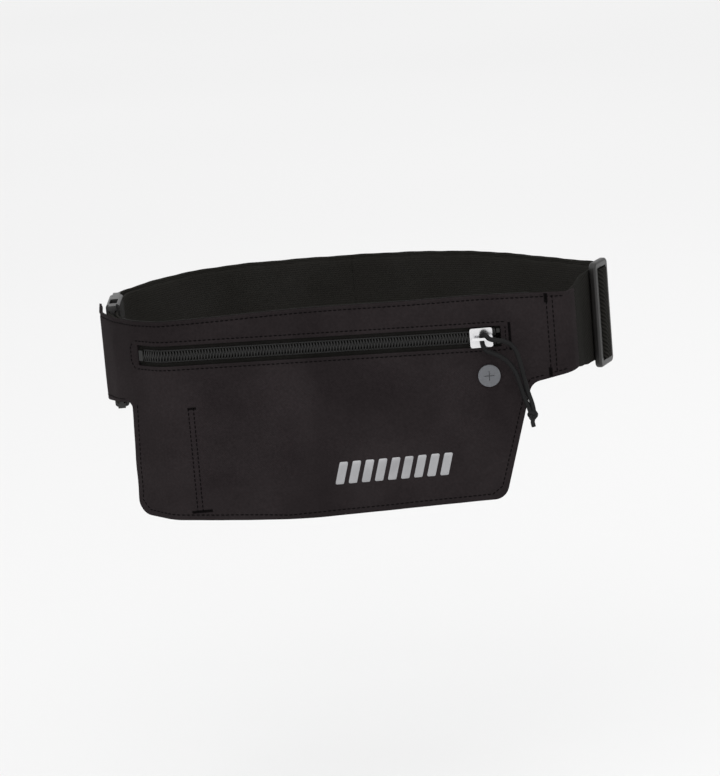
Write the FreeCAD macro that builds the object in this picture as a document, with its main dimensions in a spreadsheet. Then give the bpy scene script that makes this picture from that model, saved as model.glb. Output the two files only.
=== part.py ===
import FreeCAD, Part
import math
import os

# Waist pouch on an adjustable elastic belt, closed round an open loop.
# Millimetres. +X runs along the front panel, +Y from the front panel to the back of the loop, +Z is up.
# The origin is the middle of the loop at half the height of the band.

os.makedirs("parts", exist_ok=True)
doc = FreeCAD.newDocument("waist_pouch")
Vec = FreeCAD.Vector

# ---------------------------------------------------------------- driving dimensions

DIMENSIONS = (
    ("band_height", 50.0, "height of the band and of its webbing"),
    ("webbing_thickness", 1.5, "elastic webbing"),
    ("fabric_thickness", 1.3, "stretch fabric of the front shell"),
    ("back_thickness", 1.2, "fabric of the back panel"),
    ("layer_gap", 0.3, "air between two layers that lie on each other"),
    ("front_face_y", -84.0, "front face of the flat front panel"),
    ("pouch_depth", 8.4, "front face to the front of the back panel"),
    ("pouch_left_x", -123.6, "left edge of the pouch at the band"),
    ("pouch_left_lean", 2.0, "how far the left edge leans out towards the bottom"),
    ("pouch_bottom_z", -88.4, "lowest point of the bottom edge"),
    ("pouch_low_x", -45.0, "where the bottom edge is lowest"),
    ("pouch_left_rise", 7.4, "left bottom corner above the lowest point"),
    ("pouch_right_rise", 1.8, "right bottom corner above the lowest point"),
    ("hip_band_low", 20.5, "lower edge of the band left of the pouch, below its middle"),
    ("end_band_low", 19.3, "lower edge of the band at its right end, below its middle"),
    ("end_band_high", 22.7, "upper edge of the band at its right end, above its middle"),
    ("pouch_bottom_right_x", 71.5, "right end of the bottom edge"),
    ("pouch_top_right_x", 89.5, "where the slanted right edge meets the band"),
    ("seam_margin", 3.2, "stitched margin round the pocket"),
    ("strap_corner_x", 110.6, "where the webbing turns to the side behind the end of the fabric"),
    ("zip_z", 2.0, "centre line of the zip"),
    ("zip_left_x", -117.5, "left end of the zip opening, round the hip"),
    ("zip_right_x", 75.0, "right end of the zip opening"),
    ("zip_tilt", 1.35, "how far the zip rises to the left, degrees"),
    ("zip_opening", 11.0, "height of the zip opening"),
    ("tape_width", 11.6, "one zip tape"),
    ("tape_thickness", 0.8, "one zip tape"),
    ("coil_pitch", 2.0, "distance from one zip tooth to the next"),
    ("coil_height", 2.2, "zip teeth in front of the tape"),
    ("slider_left_x", 58.5, "left face of the zip slider"),
    ("slider_length", 12.0, "zip slider along the zip"),
    ("slider_width", 10.4, "zip slider across the zip"),
    ("plate_thickness", 1.1, "front plate of the zip slider"),
    ("bridge_rise", 4.6, "bridge of the slider above its front plate"),
    ("bridge_bar", 1.4, "bar of the bridge"),
    ("cord_diameter", 2.1, "pull cord"),
    ("knot_radius", 2.9, "knot at the end of the pull cord"),
    ("port_x", 67.3, "cable port"),
    ("port_z", -19.0, "cable port"),
    ("port_radius", 5.9, "flange of the cable port"),
    ("port_hole_radius", 4.1, "hole in the fabric for the cable port"),
    ("adjuster_length", 21.0, "adjuster along the webbing"),
    ("adjuster_rail", 4.0, "frame of the adjuster beyond each edge of the webbing"),
    ("adjuster_thickness", 4.0, "adjuster through its frame"),
    ("adjuster_slot", 5.5, "slot of the adjuster along the webbing"),
    ("adjuster_x", 133.0, "centre of the adjuster"),
    ("adjuster_y", -31.5, "centre of the adjuster"),
    ("adjuster_turn", 66.0, "direction of the webbing through the adjuster, degrees from +X"),
    ("centre_bar_depth", 3.8, "centre bar of the adjuster, towards the body"),
    ("buckle_x", -131.3, "middle plane of the buckle"),
    ("buckle_thickness", 7.6, "buckle through its housing"),
    ("buckle_rail", 3.3, "buckle beyond each edge of the webbing"),
    ("socket_front_y", -37.0, "closed end of the socket"),
    ("socket_mouth_y", -10.0, "mouth of the socket"),
    ("mating_gap", 0.3, "gap between the socket and the plug base"),
    ("arm_thickness", 3.5, "side arms and tongue of the plug"),
    ("arm_pivot_y", -7.9, "root of the side arms"),
    ("arm_pivot_inset", 13.8, "root of the side arms, in from the edge of the buckle"),
    ("arm_root_radius", 2.0, "round root of a side arm"),
    ("running_clearance", 0.08, "radial clearance at the root of a side arm"),
)

DERIVED = (
    ("adjuster_height", "=band_height + 2 * adjuster_rail", "adjuster across the webbing"),
    ("buckle_height", "=band_height + 2 * buckle_rail", "buckle from lower to upper edge"),
    ("arm_pivot_z", "=band_height / 2 + buckle_rail - arm_pivot_inset", "root of the side arms"),
)

sheet = doc.addObject("Spreadsheet::Sheet", "Dims")
for row, (alias, value, note) in enumerate(DIMENSIONS + DERIVED, start=1):
    sheet.set(f"A{row}", note)
    sheet.set(f"B{row}", str(value))
    sheet.setAlias(f"B{row}", alias)
doc.recompute()


def dim(alias):
    """Return one driving dimension in millimetres or degrees."""
    return float(sheet.get(alias))


# ---------------------------------------------------------------- flat paths of lines and tangent arcs

def rounded(points, radii, closed=False):
    """Lines and tangent arcs through a polygon; each piece is (start, end, centre, radius, sweep)."""
    count = len(points)
    corners = range(count) if closed else range(1, count - 1)
    cut = {}
    for index in corners:
        before = points[index - 1]
        here = points[index]
        after = points[(index + 1) % count]
        radius = radii[index]
        back = (before[0] - here[0], before[1] - here[1])
        ahead = (after[0] - here[0], after[1] - here[1])
        back_length = math.hypot(*back)
        ahead_length = math.hypot(*ahead)
        back = (back[0] / back_length, back[1] / back_length)
        ahead = (ahead[0] / ahead_length, ahead[1] / ahead_length)
        turn = math.atan2(-back[0] * ahead[1] + back[1] * ahead[0], -(back[0] * ahead[0] + back[1] * ahead[1]))
        reach = radius * math.tan(abs(turn) / 2)
        start = (here[0] + back[0] * reach, here[1] + back[1] * reach)
        end = (here[0] + ahead[0] * reach, here[1] + ahead[1] * reach)
        side = 1.0 if turn > 0 else -1.0
        centre = (start[0] + back[1] * radius * side, start[1] - back[0] * radius * side)
        cut[index] = (start, end, centre, radius, turn)
    pieces = []
    spans = range(count) if closed else range(count - 1)
    for index in spans:
        following = (index + 1) % count
        start = cut[index][1] if index in cut else points[index]
        end = cut[following][0] if following in cut else points[following]
        if math.dist(start, end) > 1e-6:
            pieces.append((start, end, None, 0.0, 0.0))
        if following in cut and cut[following][3] > 1e-6:
            arc = cut[following]
            pieces.append((arc[0], arc[1], arc[2], arc[3], arc[4]))
    return pieces


def widest_radii(points, share=0.45):
    """The largest tangent arc at each corner: a share of the shorter run over the tangent of half the turn."""
    radii = [0.0] * len(points)
    for index in range(1, len(points) - 1):
        before = Vec(*points[index]) - Vec(*points[index - 1])
        after = Vec(*points[index + 1]) - Vec(*points[index])
        turn = before.getAngle(after)
        radii[index] = share * min(before.Length, after.Length) / math.tan(turn / 2)
    return radii


def beside(pieces, distance):
    """The same path moved to its left by a distance."""
    moved = []
    for start, end, centre, radius, sweep in pieces:
        if centre is None:
            length = math.dist(start, end)
            normal = (-(end[1] - start[1]) / length, (end[0] - start[0]) / length)
            shift = (normal[0] * distance, normal[1] * distance)
            moved.append(((start[0] + shift[0], start[1] + shift[1]),
                          (end[0] + shift[0], end[1] + shift[1]), None, 0.0, 0.0))
        else:
            new_radius = radius - distance if sweep > 0 else radius + distance
            scale = new_radius / radius
            new_start = (centre[0] + (start[0] - centre[0]) * scale, centre[1] + (start[1] - centre[1]) * scale)
            new_end = (centre[0] + (end[0] - centre[0]) * scale, centre[1] + (end[1] - centre[1]) * scale)
            moved.append((new_start, new_end, centre, new_radius, sweep))
    return moved


def curves(pieces):
    """Sketch curves of a path."""
    result = []
    for start, end, centre, radius, sweep in pieces:
        if centre is None:
            result.append(Part.LineSegment(Vec(start[0], start[1], 0), Vec(end[0], end[1], 0)))
        else:
            first = math.atan2(start[1] - centre[1], start[0] - centre[0])
            last = math.atan2(end[1] - centre[1], end[0] - centre[0])
            circle = Part.Circle(Vec(centre[0], centre[1], 0), Vec(0, 0, 1), radius)
            if sweep > 0:
                result.append(Part.ArcOfCircle(circle, first, last))
            else:
                result.append(Part.ArcOfCircle(circle, last, first))
    return result


def layer_outline(pieces, right, left):
    """Closed outline of a layer that runs from right to left of a path."""
    near = beside(pieces, right)
    far = beside(pieces, left)
    outline = curves(near) + curves(far)
    outline.append(Part.LineSegment(Vec(*near[0][0], 0), Vec(*far[0][0], 0)))
    outline.append(Part.LineSegment(Vec(*near[-1][1], 0), Vec(*far[-1][1], 0)))
    return outline


def path_length(pieces):
    """Length of a path."""
    return sum(math.dist(p[0], p[1]) if p[2] is None else p[3] * abs(p[4]) for p in pieces)


# ---------------------------------------------------------------- document objects

def sketch(name, geometry, turn=None):
    """A sketch on the XY plane, or turned about X so that its own Y runs along +Z."""
    result = doc.addObject("Sketcher::SketchObject", name)
    result.addGeometry(geometry, False)
    if turn is not None:
        result.Placement = FreeCAD.Placement(Vec(0, 0, 0), turn)
    return result


UPRIGHT = FreeCAD.Rotation(Vec(1, 0, 0), 90)
SIDEWAYS = FreeCAD.Rotation(Vec(0, 1, 0), Vec(0, 0, 1), Vec(1, 0, 0), "ZXY")


def extruded(name, base, direction, length, offset_axis=None, offset=None):
    """A sketch extruded along a direction; length and offset are expressions on the sheet."""
    result = doc.addObject("Part::Extrusion", name)
    result.Base = base
    result.DirMode = "Custom"
    result.Dir = direction
    result.Solid = True
    result.setExpression("LengthFwd", length)
    if offset_axis is not None:
        result.setExpression(f"Placement.Base.{offset_axis}", offset)
    return result


def block(name, length, width, height, x, y, z):
    """A box whose sizes and corner are expressions on the sheet."""
    result = doc.addObject("Part::Box", name)
    for prop, expression in (("Length", length), ("Width", width), ("Height", height),
                             ("Placement.Base.x", x), ("Placement.Base.y", y), ("Placement.Base.z", z)):
        result.setExpression(prop, expression)
    return result


def cylinder(name, radius, height, x, y, z, rotation):
    """A cylinder whose sizes and base centre are expressions on the sheet."""
    result = doc.addObject("Part::Cylinder", name)
    result.Placement = FreeCAD.Placement(Vec(0, 0, 0), rotation)
    for prop, expression in (("Radius", radius), ("Height", height),
                             ("Placement.Base.x", x), ("Placement.Base.y", y), ("Placement.Base.z", z)):
        result.setExpression(prop, expression)
    return result


def joined(name, shapes):
    """One solid made of several that touch or overlap."""
    result = doc.addObject("Part::MultiFuse", name)
    result.Shapes = shapes
    result.Refine = True
    return result


def shared(name, first, second):
    """What two solids have in common."""
    result = doc.addObject("Part::Common", name)
    result.Base = first
    result.Tool = second
    return result


def without(name, base, tools):
    """A solid with others cut away from it."""
    for number, tool in enumerate(tools):
        result = doc.addObject("Part::Cut", name if number == len(tools) - 1 else f"{name}_cut{number}")
        result.Base = base
        result.Tool = tool
        base = result
    return base


nodes = []


def node(label, obj):
    """Give a finished sub-part its label and keep it for export."""
    obj.Label = label
    nodes.append(obj)
    return obj


ALONG_Y = FreeCAD.Rotation(Vec(1, 0, 0), -90)
ALONG_X = FreeCAD.Rotation(Vec(0, 1, 0), 90)
half_band = dim("band_height") / 2
seat = 0.1
fabric = dim("fabric_thickness")
webbing = dim("webbing_thickness")
gap = dim("layer_gap")
front_y = dim("front_face_y")

# ---------------------------------------------------------------- pouch

def moved_corner(before, here, after, distance):
    """The corner of a polygon moved to its left by a distance."""
    first = math.atan2(here[1] - before[1], here[0] - before[0])
    second = math.atan2(after[1] - here[1], after[0] - here[0])
    half = (second - first + math.pi) % (2 * math.pi) - math.pi
    middle = first + half / 2
    reach = distance / math.cos(half / 2)
    return (here[0] - math.sin(middle) * reach, here[1] + math.cos(middle) * reach)


def between(first, last, share):
    """The point a share of the way from one point to another."""
    return (first[0] + share * (last[0] - first[0]), first[1] + share * (last[1] - first[1]))


# The webbing leaves the pouch behind the end of the fabric, which turns the same corner outside it.
sewn_y = front_y + fabric + seat + webbing / 2
strap_corner = (dim("strap_corner_x"), sewn_y)
strap_side = (116.4, -68.5)
strap_seat = fabric + seat + webbing / 2
strap_radius = 6.6
side_corner = moved_corner((0.0, sewn_y), strap_corner, strap_side, -strap_seat)
side_end = moved_corner(strap_corner, between(strap_corner, strap_side, 0.585), strap_side, -strap_seat)

# Plan of the front face: round the right corner, flat across the front, then round the left hip.
front_plan = [side_end, side_corner, (-106.0, front_y), (-120.5, front_y + 12.0),
              (-131.8, front_y + 30.0), (-139.0, front_y + 50.0), (-140.6, front_y + 77.0)]
front_path = rounded(front_plan, [0, strap_radius + strap_seat, 14.0, 30.0, 34.0, 38.0, 0])
pouch_path = rounded([(98.0, front_y)] + front_plan[2:], [0, 14.0, 30.0, 34.0, 38.0, 0])

# Outline of the front fabric in the plane of the panel: the band with the pouch hanging from it.
left_x = dim("pouch_left_x")
bottom_z = dim("pouch_bottom_z")
low_right_x = dim("pouch_bottom_right_x")
top_right_x = dim("pouch_top_right_x")
low_left = (left_x - dim("pouch_left_lean"), bottom_z + dim("pouch_left_rise"))
low_right = (low_right_x, bottom_z + dim("pouch_right_rise"))
lowest = (dim("pouch_low_x"), bottom_z)
fabric_outline = [(-145.0, half_band), (-145.0, -dim("hip_band_low")), (left_x, -dim("hip_band_low")), low_left,
                  lowest, low_right, (top_right_x, -half_band), (120.0, -dim("end_band_low")),
                  (120.0, dim("end_band_high")), (60.0, half_band)]
fabric_corners = [0, 0, 3.0, 7.0, 500.0, 8.0, 7.0, 0, 0, 90.0]
pouch_outline = [(left_x, half_band), (left_x, -dim("hip_band_low")), low_left, lowest, low_right,
                 (top_right_x, -half_band), (84.0, half_band)]
pouch_corners = [3.6, 40.0, 7.0, 500.0, 8.0, 4.0, 3.6]


def upright_slab(name, outline, corners, inset=0.0):
    """An outline in the plane of the panel, extruded far enough to reach round the hip."""
    path = rounded(outline, corners, closed=True)
    if inset:
        path = beside(path, inset)
    face = sketch(f"{name}_outline", curves(path), UPRIGHT)
    return extruded(name, face, Vec(0, 1, 0), "96 mm", "y", "Dims.front_face_y - 8")


def full_height_layer(name, path, right, left):
    """A layer beside the front face, from the bottom of the pouch to the top of the band."""
    face = sketch(f"{name}_plan", layer_outline(path, right, left))
    return extruded(name, face, Vec(0, 0, 1), "Dims.band_height / 2 - Dims.pouch_bottom_z", "z",
                    "Dims.pouch_bottom_z")


depth = dim("pouch_depth")
front_layer = shared("front_layer", full_height_layer("front_layer_block", front_path, -fabric, 0.0),
                     upright_slab("fabric_slab", fabric_outline, fabric_corners))
tray = shared("tray", full_height_layer("tray_block", pouch_path, -depth, 0.0),
              upright_slab("pouch_slab", pouch_outline, pouch_corners))
pocket = shared("pocket_space", full_height_layer("pocket_block", pouch_path, -depth, -fabric),
                upright_slab("pocket_slab", pouch_outline, pouch_corners, dim("seam_margin")))
zip_tilt = math.radians(dim("zip_tilt"))
tilt_x = dim("slider_left_x") + dim("slider_length") / 2


def tilted(points):
    """Points of a level zip turned about the middle of the slider."""
    cosine = math.cos(zip_tilt)
    sine = math.sin(zip_tilt)
    return [(tilt_x + (x - tilt_x) * cosine + (z - dim("zip_z")) * sine,
             dim("zip_z") - (x - tilt_x) * sine + (z - dim("zip_z")) * cosine) for x, z in points]


slot_low = dim("zip_z") - dim("zip_opening") / 2
slot_high = dim("zip_z") + dim("zip_opening") / 2
zip_slot = sketch("zip_slot_outline", curves(rounded(
    tilted([(dim("zip_left_x"), slot_low), (dim("zip_right_x"), slot_low),
            (dim("zip_right_x"), slot_high), (dim("zip_left_x"), slot_high)]),
    [2.5, 1.0, 1.0, 2.5], closed=True)), UPRIGHT)
zip_cut = shared("zip_cut", full_height_layer("zip_cut_block", pouch_path, -fabric - 0.6, 1.0),
                 extruded("zip_cut_slab", zip_slot, Vec(0, 1, 0), "30 mm", "y", "Dims.front_face_y - 2"))
port_cut = cylinder("port_cut", "Dims.port_hole_radius", "4 mm", "Dims.port_x", "Dims.front_face_y - 1",
                    "Dims.port_z", ALONG_Y)
shell_blank = joined("shell_blank", [front_layer, tray])
node("pouch_front_shell", without("front_shell", shell_blank, [pocket, zip_cut, port_cut]))

back_layer = full_height_layer("back_layer_block", pouch_path, -depth - dim("back_thickness"), -depth)
node("pouch_back_panel", shared("back_panel", back_layer,
                                upright_slab("back_slab", pouch_outline, pouch_corners)))

# Wall of fabric between the front and the back: it parts the small left pocket from the main one.
node("pocket_divider", block("divider", "1.4 mm", "Dims.pouch_depth - Dims.fabric_thickness", "56.7 mm",
                             "-92.2 mm", "Dims.front_face_y + Dims.fabric_thickness",
                             "Dims.pouch_bottom_z + Dims.seam_margin + 4.4"))

# ---------------------------------------------------------------- zip

zip_z = dim("zip_z")
tape_y = "Dims.front_face_y + Dims.fabric_thickness"
tape_left = dim("zip_left_x") - 1.4
tape_right = dim("zip_right_x") + 4.0
part_x = dim("slider_left_x") + 7.0
for side, label in ((1, "zip_tape_upper"), (-1, "zip_tape_lower")):
    near = zip_z + side * 0.35
    parted = zip_z + side * 1.75
    far = near + side * dim("tape_width")
    corners = [(tape_left, near), (part_x, near), (part_x + 1.6, parted), (tape_right, parted),
               (tape_right, far), (tape_left, far)]
    if side < 0:
        corners.reverse()
    face = sketch(f"{label}_outline", curves(rounded(tilted(corners), [0] * 6, closed=True)), UPRIGHT)
    layer = full_height_layer(f"{label}_layer", pouch_path, -fabric - dim("tape_thickness"), -fabric)
    slab = extruded(f"{label}_slab", face, Vec(0, 1, 0), "30 mm", "y", "Dims.front_face_y - 2")
    node(label, shared(f"{label}_solid", layer, slab))

# Teeth of one side reach over the centre line into the gaps of the other side.
pitch = dim("coil_pitch")
first_tooth = dim("zip_left_x") + 3.0
tooth_count = int((dim("slider_left_x") + 6.5 - first_tooth) / pitch)
tooth_width = 0.85
tooth_reach = 1.0
for side, label in ((1, "zip_coil_upper"), (-1, "zip_coil_lower")):
    start_x = first_tooth + (0.0 if side > 0 else pitch / 2)
    spine = zip_z + side * 1.3
    tip = zip_z - side * tooth_reach
    edge = zip_z + side * 2.9
    comb = [(start_x, edge), (start_x, tip)]
    for number in range(tooth_count):
        tooth_x = start_x + number * pitch
        comb += [(tooth_x + tooth_width, tip), (tooth_x + tooth_width, spine)]
        if number < tooth_count - 1:
            comb += [(tooth_x + pitch, spine), (tooth_x + pitch, tip)]
    comb.append((comb[-1][0], edge))
    if side > 0:
        comb.reverse()
    face = sketch(f"{label}_outline", curves(rounded(tilted(comb), [0] * len(comb), closed=True)), UPRIGHT)
    layer = full_height_layer(f"{label}_layer", pouch_path, -fabric, dim("coil_height") - fabric)
    slab = extruded(f"{label}_slab", face, Vec(0, 1, 0), "30 mm", "y", "Dims.front_face_y - 2")
    node(label, shared(f"{label}_solid", layer, slab))

stop_y = "Dims.front_face_y + Dims.fabric_thickness - Dims.coil_height"
upper_stop = block("upper_stop", "1.8 mm", "Dims.coil_height", "2.2 mm", "Dims.zip_right_x - 2.3", stop_y,
                   "Dims.zip_z + 1.8")
lower_stop = block("lower_stop", "1.8 mm", "Dims.coil_height", "2.2 mm", "Dims.zip_right_x - 2.3", stop_y,
                   "Dims.zip_z - 4.0")
stops = doc.addObject("Part::Compound", "zip_top_stops")
stops.Links = [upper_stop, lower_stop]
node("zip_top_stops", stops)
end_left = dim("zip_left_x") + 0.5
end_outline = sketch("end_stop_outline", curves(rounded(
    tilted([(end_left, zip_z - 2.8), (end_left + 2.2, zip_z - 2.8), (end_left + 2.2, zip_z + 2.8),
            (end_left, zip_z + 2.8)]), [0.4] * 4, closed=True)), UPRIGHT)
end_block = extruded("end_stop_slab", end_outline, Vec(0, 1, 0), "30 mm", "y", "Dims.front_face_y - 2")
end_layer = full_height_layer("end_stop_layer", pouch_path, -fabric, dim("coil_height") - fabric)
node("zip_end_stop", shared("end_stop", end_layer, end_block))

# Slider: two plates round the tapes, a wedge that parts the teeth, and a bridge for the cord.
plate_y = "Dims.front_face_y - 1.3 - Dims.plate_thickness"
slider_z = "Dims.zip_z - Dims.slider_width / 2"
front_plate = block("front_plate", "Dims.slider_length", "Dims.plate_thickness", "Dims.slider_width",
                    "Dims.slider_left_x", plate_y, slider_z)
rear_plate = block("rear_plate", "Dims.slider_length", "1 mm", "Dims.slider_width",
                   "Dims.slider_left_x", "Dims.front_face_y + 2.8", slider_z)
wedge = block("wedge", "2.8 mm", "4.1 mm", "2.6 mm", "Dims.slider_left_x + 8.8", "Dims.front_face_y - 1.3",
              "Dims.zip_z - 1.3")
upper_lip = block("upper_lip", "Dims.slider_length", "0.9 mm", "0.9 mm", "Dims.slider_left_x",
                  "Dims.front_face_y - 1.3", "Dims.zip_z + Dims.slider_width / 2 - 0.9")
lower_lip = block("lower_lip", "Dims.slider_length", "0.9 mm", "0.9 mm", "Dims.slider_left_x",
                  "Dims.front_face_y - 1.3", "Dims.zip_z - Dims.slider_width / 2")
bridge_y = "Dims.front_face_y - 1.3 - Dims.plate_thickness - Dims.bridge_rise"
bridge_bar = block("bridge_bar", "Dims.slider_length - 1", "Dims.bridge_bar", "Dims.bridge_bar",
                   "Dims.slider_left_x + 0.8", bridge_y, "Dims.zip_z - Dims.bridge_bar / 2")
left_leg = block("left_leg", "1.5 mm", "Dims.bridge_rise", "Dims.bridge_bar", "Dims.slider_left_x + 0.8", bridge_y,
                 "Dims.zip_z - Dims.bridge_bar / 2")
right_leg = block("right_leg", "1.5 mm", "Dims.bridge_rise", "Dims.bridge_bar",
                  "Dims.slider_left_x + Dims.slider_length - 1.7", bridge_y, "Dims.zip_z - Dims.bridge_bar / 2")
slider_blank = joined("slider_blank", [front_plate, rear_plate, wedge, upper_lip, lower_lip, bridge_bar,
                                       left_leg, right_leg])
doc.recompute()


def filleted(name, base, radius, chosen):
    """Round the edges of a solid that a test picks."""
    result = doc.addObject("Part::Fillet", name)
    result.Base = base
    result.Edges = [(number, radius, radius) for number, edge in enumerate(base.Shape.Edges, start=1)
                    if chosen(edge)]
    return result


def runs_along(edge, axis):
    """Whether a straight edge runs along an axis."""
    if not isinstance(edge.Curve, Part.Line):
        return False
    return abs(abs(edge.Curve.Direction.dot(axis)) - 1) < 1e-6


def slider_corner(edge):
    """The upright corners of the front plate and the ends of the bridge bar."""
    middle = edge.BoundBox.Center
    if not runs_along(edge, Vec(0, 1, 0)):
        return False
    return abs(middle.z - zip_z) > dim("slider_width") / 2 - 0.05 and middle.y < front_y


node("zip_slider", filleted("slider", slider_blank, 1.2, slider_corner))

# ---------------------------------------------------------------- pull cord

# The loop is threaded under the bridge: it goes round the bar, then both strands hang to the knot.
bar_y = front_y - 1.3 - dim("plate_thickness") - dim("bridge_rise") + dim("bridge_bar") / 2
knot_top_z = -41.2
CORD_ROUTE = [
    (89.3, bar_y - 0.5, knot_top_z), (89.3, bar_y - 0.5, knot_top_z + 4.4), (87.4, bar_y - 0.4, -28.8),
    (86.2, bar_y - 0.3, -20.5), (83.8, bar_y - 0.4, -12.0), (79.6, bar_y - 0.8, -5.2),
    (73.2, bar_y - 1.9, -1.6), (67.5, bar_y - 2.42, 0.6), (66.6, bar_y - 2.42, 4.42), (64.8, bar_y + 2.42, 4.42),
    (64.5, bar_y + 2.35, 0.2), (66.0, bar_y + 1.5, -4.6), (73.0, bar_y + 0.3, -8.6), (79.4, bar_y - 0.3, -13.4),
    (82.6, bar_y - 0.5, -20.8), (84.4, bar_y - 0.5, -28.8), (86.9, bar_y - 0.5, knot_top_z + 4.4),
    (86.9, bar_y - 0.5, knot_top_z),
]


def cord_tube(name, route, radii, diameter):
    """A round tube along straight runs joined by tangent arcs."""
    points = [Vec(*p) for p in route]
    edges = []
    here = points[0]
    for index in range(1, len(points) - 1):
        corner = points[index]
        back = (points[index - 1] - corner).normalize()
        ahead = (points[index + 1] - corner).normalize()
        turn = math.pi - back.getAngle(ahead)
        reach = radii[index] * math.tan(turn / 2)
        start = corner + back * reach
        end = corner + ahead * reach
        bisector = (back + ahead).normalize()
        middle = corner + bisector * (radii[index] / math.cos(turn / 2) - radii[index])
        edges.append(Part.makeLine(here, start))
        edges.append(Part.Arc(start, middle, end).toShape())
        here = end
    edges.append(Part.makeLine(here, points[-1]))
    spine = Part.Wire(edges)
    circle = Part.Wire([Part.makeCircle(diameter / 2, points[0], points[1] - points[0])])
    tube = spine.makePipeShell([circle], True, False)
    result = doc.addObject("Part::Feature", name)
    result.Shape = tube
    section = math.pi * diameter ** 2 / 4
    print(name, "length", round(spine.Length, 1), "volume ratio", round(tube.Volume / (section * spine.Length), 4))
    return result


cord_radii = widest_radii(CORD_ROUTE)
print("pull cord radii", [round(r, 1) for r in cord_radii[1:-1]])
node("pull_cord", cord_tube("pull_cord_tube", CORD_ROUTE, cord_radii, dim("cord_diameter")))

knot_x = (CORD_ROUTE[0][0] + CORD_ROUTE[-1][0]) / 2
knot_base = cylinder("knot_base", "Dims.knot_radius", "4.8 mm", f"{knot_x} mm", f"{bar_y - 0.5} mm",
                     f"{knot_top_z - 4.8} mm", FreeCAD.Rotation())
doc.recompute()
knot_round = filleted("knot_round", knot_base, 1.5, lambda edge: isinstance(edge.Curve, Part.Circle))
tail = cylinder("tail", "Dims.cord_diameter / 2", "4 mm", f"{knot_x} mm", f"{bar_y - 0.5} mm",
                f"{knot_top_z - 8.2} mm", FreeCAD.Rotation())
node("pull_knot", joined("knot", [knot_round, tail]))

# ---------------------------------------------------------------- cable port

port_flange = cylinder("port_flange", "Dims.port_radius", "1.2 mm", "Dims.port_x", "Dims.front_face_y - 1.2",
                       "Dims.port_z", ALONG_Y)
port_stem = cylinder("port_stem", "Dims.port_hole_radius - 0.05", "2.3 mm", "Dims.port_x", "Dims.front_face_y",
                     "Dims.port_z", ALONG_Y)
port_bore = cylinder("port_bore", "2.9 mm", "2.4 mm", "Dims.port_x", "Dims.front_face_y",
                     "Dims.port_z", ALONG_Y)
slit_upright = block("slit_upright", "0.3 mm", "2 mm", "5.4 mm", "Dims.port_x - 0.15", "Dims.front_face_y - 1.5",
                     "Dims.port_z - 2.7")
slit_level = block("slit_level", "5.4 mm", "2 mm", "0.3 mm", "Dims.port_x - 2.7", "Dims.front_face_y - 1.5",
                   "Dims.port_z - 0.15")
port_blank = joined("port_blank", [port_flange, port_stem])
node("port_button", without("port", port_blank, [port_bore, slit_upright, slit_level]))
backing_disc = cylinder("backing_disc", "Dims.port_radius + 0.9", "1 mm", "Dims.port_x", tape_y, "Dims.port_z",
                        ALONG_Y)
backing_bore = cylinder("backing_bore", "Dims.port_hole_radius - 0.05", "2 mm", "Dims.port_x",
                        "Dims.front_face_y + 0.8", "Dims.port_z", ALONG_Y)
node("port_backing", without("port_backing_ring", backing_disc, [backing_bore]))

# ---------------------------------------------------------------- trim on the front panel

segment_curves = []
segment_count = 9
for number in range(segment_count):
    left = -19.0 + number * 7.0
    segment_curves += curves(rounded([(left, -71.0), (left + 4.6, -71.0), (left + 8.0, -59.0), (left + 3.4, -59.0)],
                                     [0.8] * 4, closed=True))
segments = sketch("reflective_outline", segment_curves, UPRIGHT)
node("reflective_segments", extruded("reflective", segments, Vec(0, 1, 0), "0.25 mm", "y",
                                     "Dims.front_face_y - 0.25"))

BARTACKS = ((-96.2, -80.2, 11.0, 1.7), (78.9, -6.2, 1.6, 15.0), (98.9, 17.5, 2.2, 5.0), (98.9, -22.5, 2.2, 5.0),
            (-93.6, -24.0, 4.6, 1.5))
bartack_curves = []
for left, low, width, height in BARTACKS:
    bartack_curves += curves(rounded([(left, low), (left + width, low), (left + width, low + height),
                                      (left, low + height)], [0.5] * 4, closed=True))
bartack_face = sketch("bartack_outline", bartack_curves, UPRIGHT)
node("bartacks", extruded("bartack_threads", bartack_face, Vec(0, 1, 0), "0.4 mm", "y",
                          "Dims.front_face_y - 0.4"))

# ---------------------------------------------------------------- elastic webbing

turn = math.radians(dim("adjuster_turn"))
ALONG = (math.cos(turn), math.sin(turn))
OUTWARD = (math.sin(turn), -math.cos(turn))


def at_adjuster(along, outward):
    """A point beside the centre of the adjuster: along the webbing, and outward from the body."""
    return (dim("adjuster_x") + along * ALONG[0] + outward * OUTWARD[0],
            dim("adjuster_y") + along * ALONG[1] + outward * OUTWARD[1])


half_frame = dim("adjuster_thickness") / 2
under_bar = half_frame + gap + webbing / 2
layer_step = webbing + gap
hump = 2.85

# The running webbing: sewn behind the fabric, woven through the adjuster, round the back to the plug.
running_start = [(92.0, sewn_y), strap_corner, strap_side, at_adjuster(-24.0, -under_bar)]
weave = [at_adjuster(-5.74, -under_bar), at_adjuster(-4.16, hump), at_adjuster(4.16, hump),
         at_adjuster(5.74, -under_bar)]
plug_outer_x = dim("buckle_x") - 2.25
plug_inner_x = dim("buckle_x") + 2.25
back_points = [at_adjuster(15.5, -under_bar), (131.0, -8.0), (117.0, 8.5), (101.0, 29.0), (81.0, 53.0), (57.0, 71.0),
               (21.0, 84.0), (-22.0, 88.6), (-65.0, 88.6), (-92.5, 77.5), (-113.5, 56.0), (-129.2, 29.0),
               (-136.0, 12.0), (plug_outer_x, 3.6), (plug_outer_x, 0.3)]
back_radii = widest_radii([(x, y, 0) for x, y in back_points])
back_radii[0] = 6.5
back_radii[1] = min(back_radii[1], 24.0)
back_radii = [min(radius, 160.0) for radius in back_radii]
running_points = running_start + weave + back_points
running_radii = [0, strap_radius, 30.0, 30.0, 1.6, 1.6, 1.6, 1.6] + back_radii
running_path = rounded(running_points, running_radii)
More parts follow.
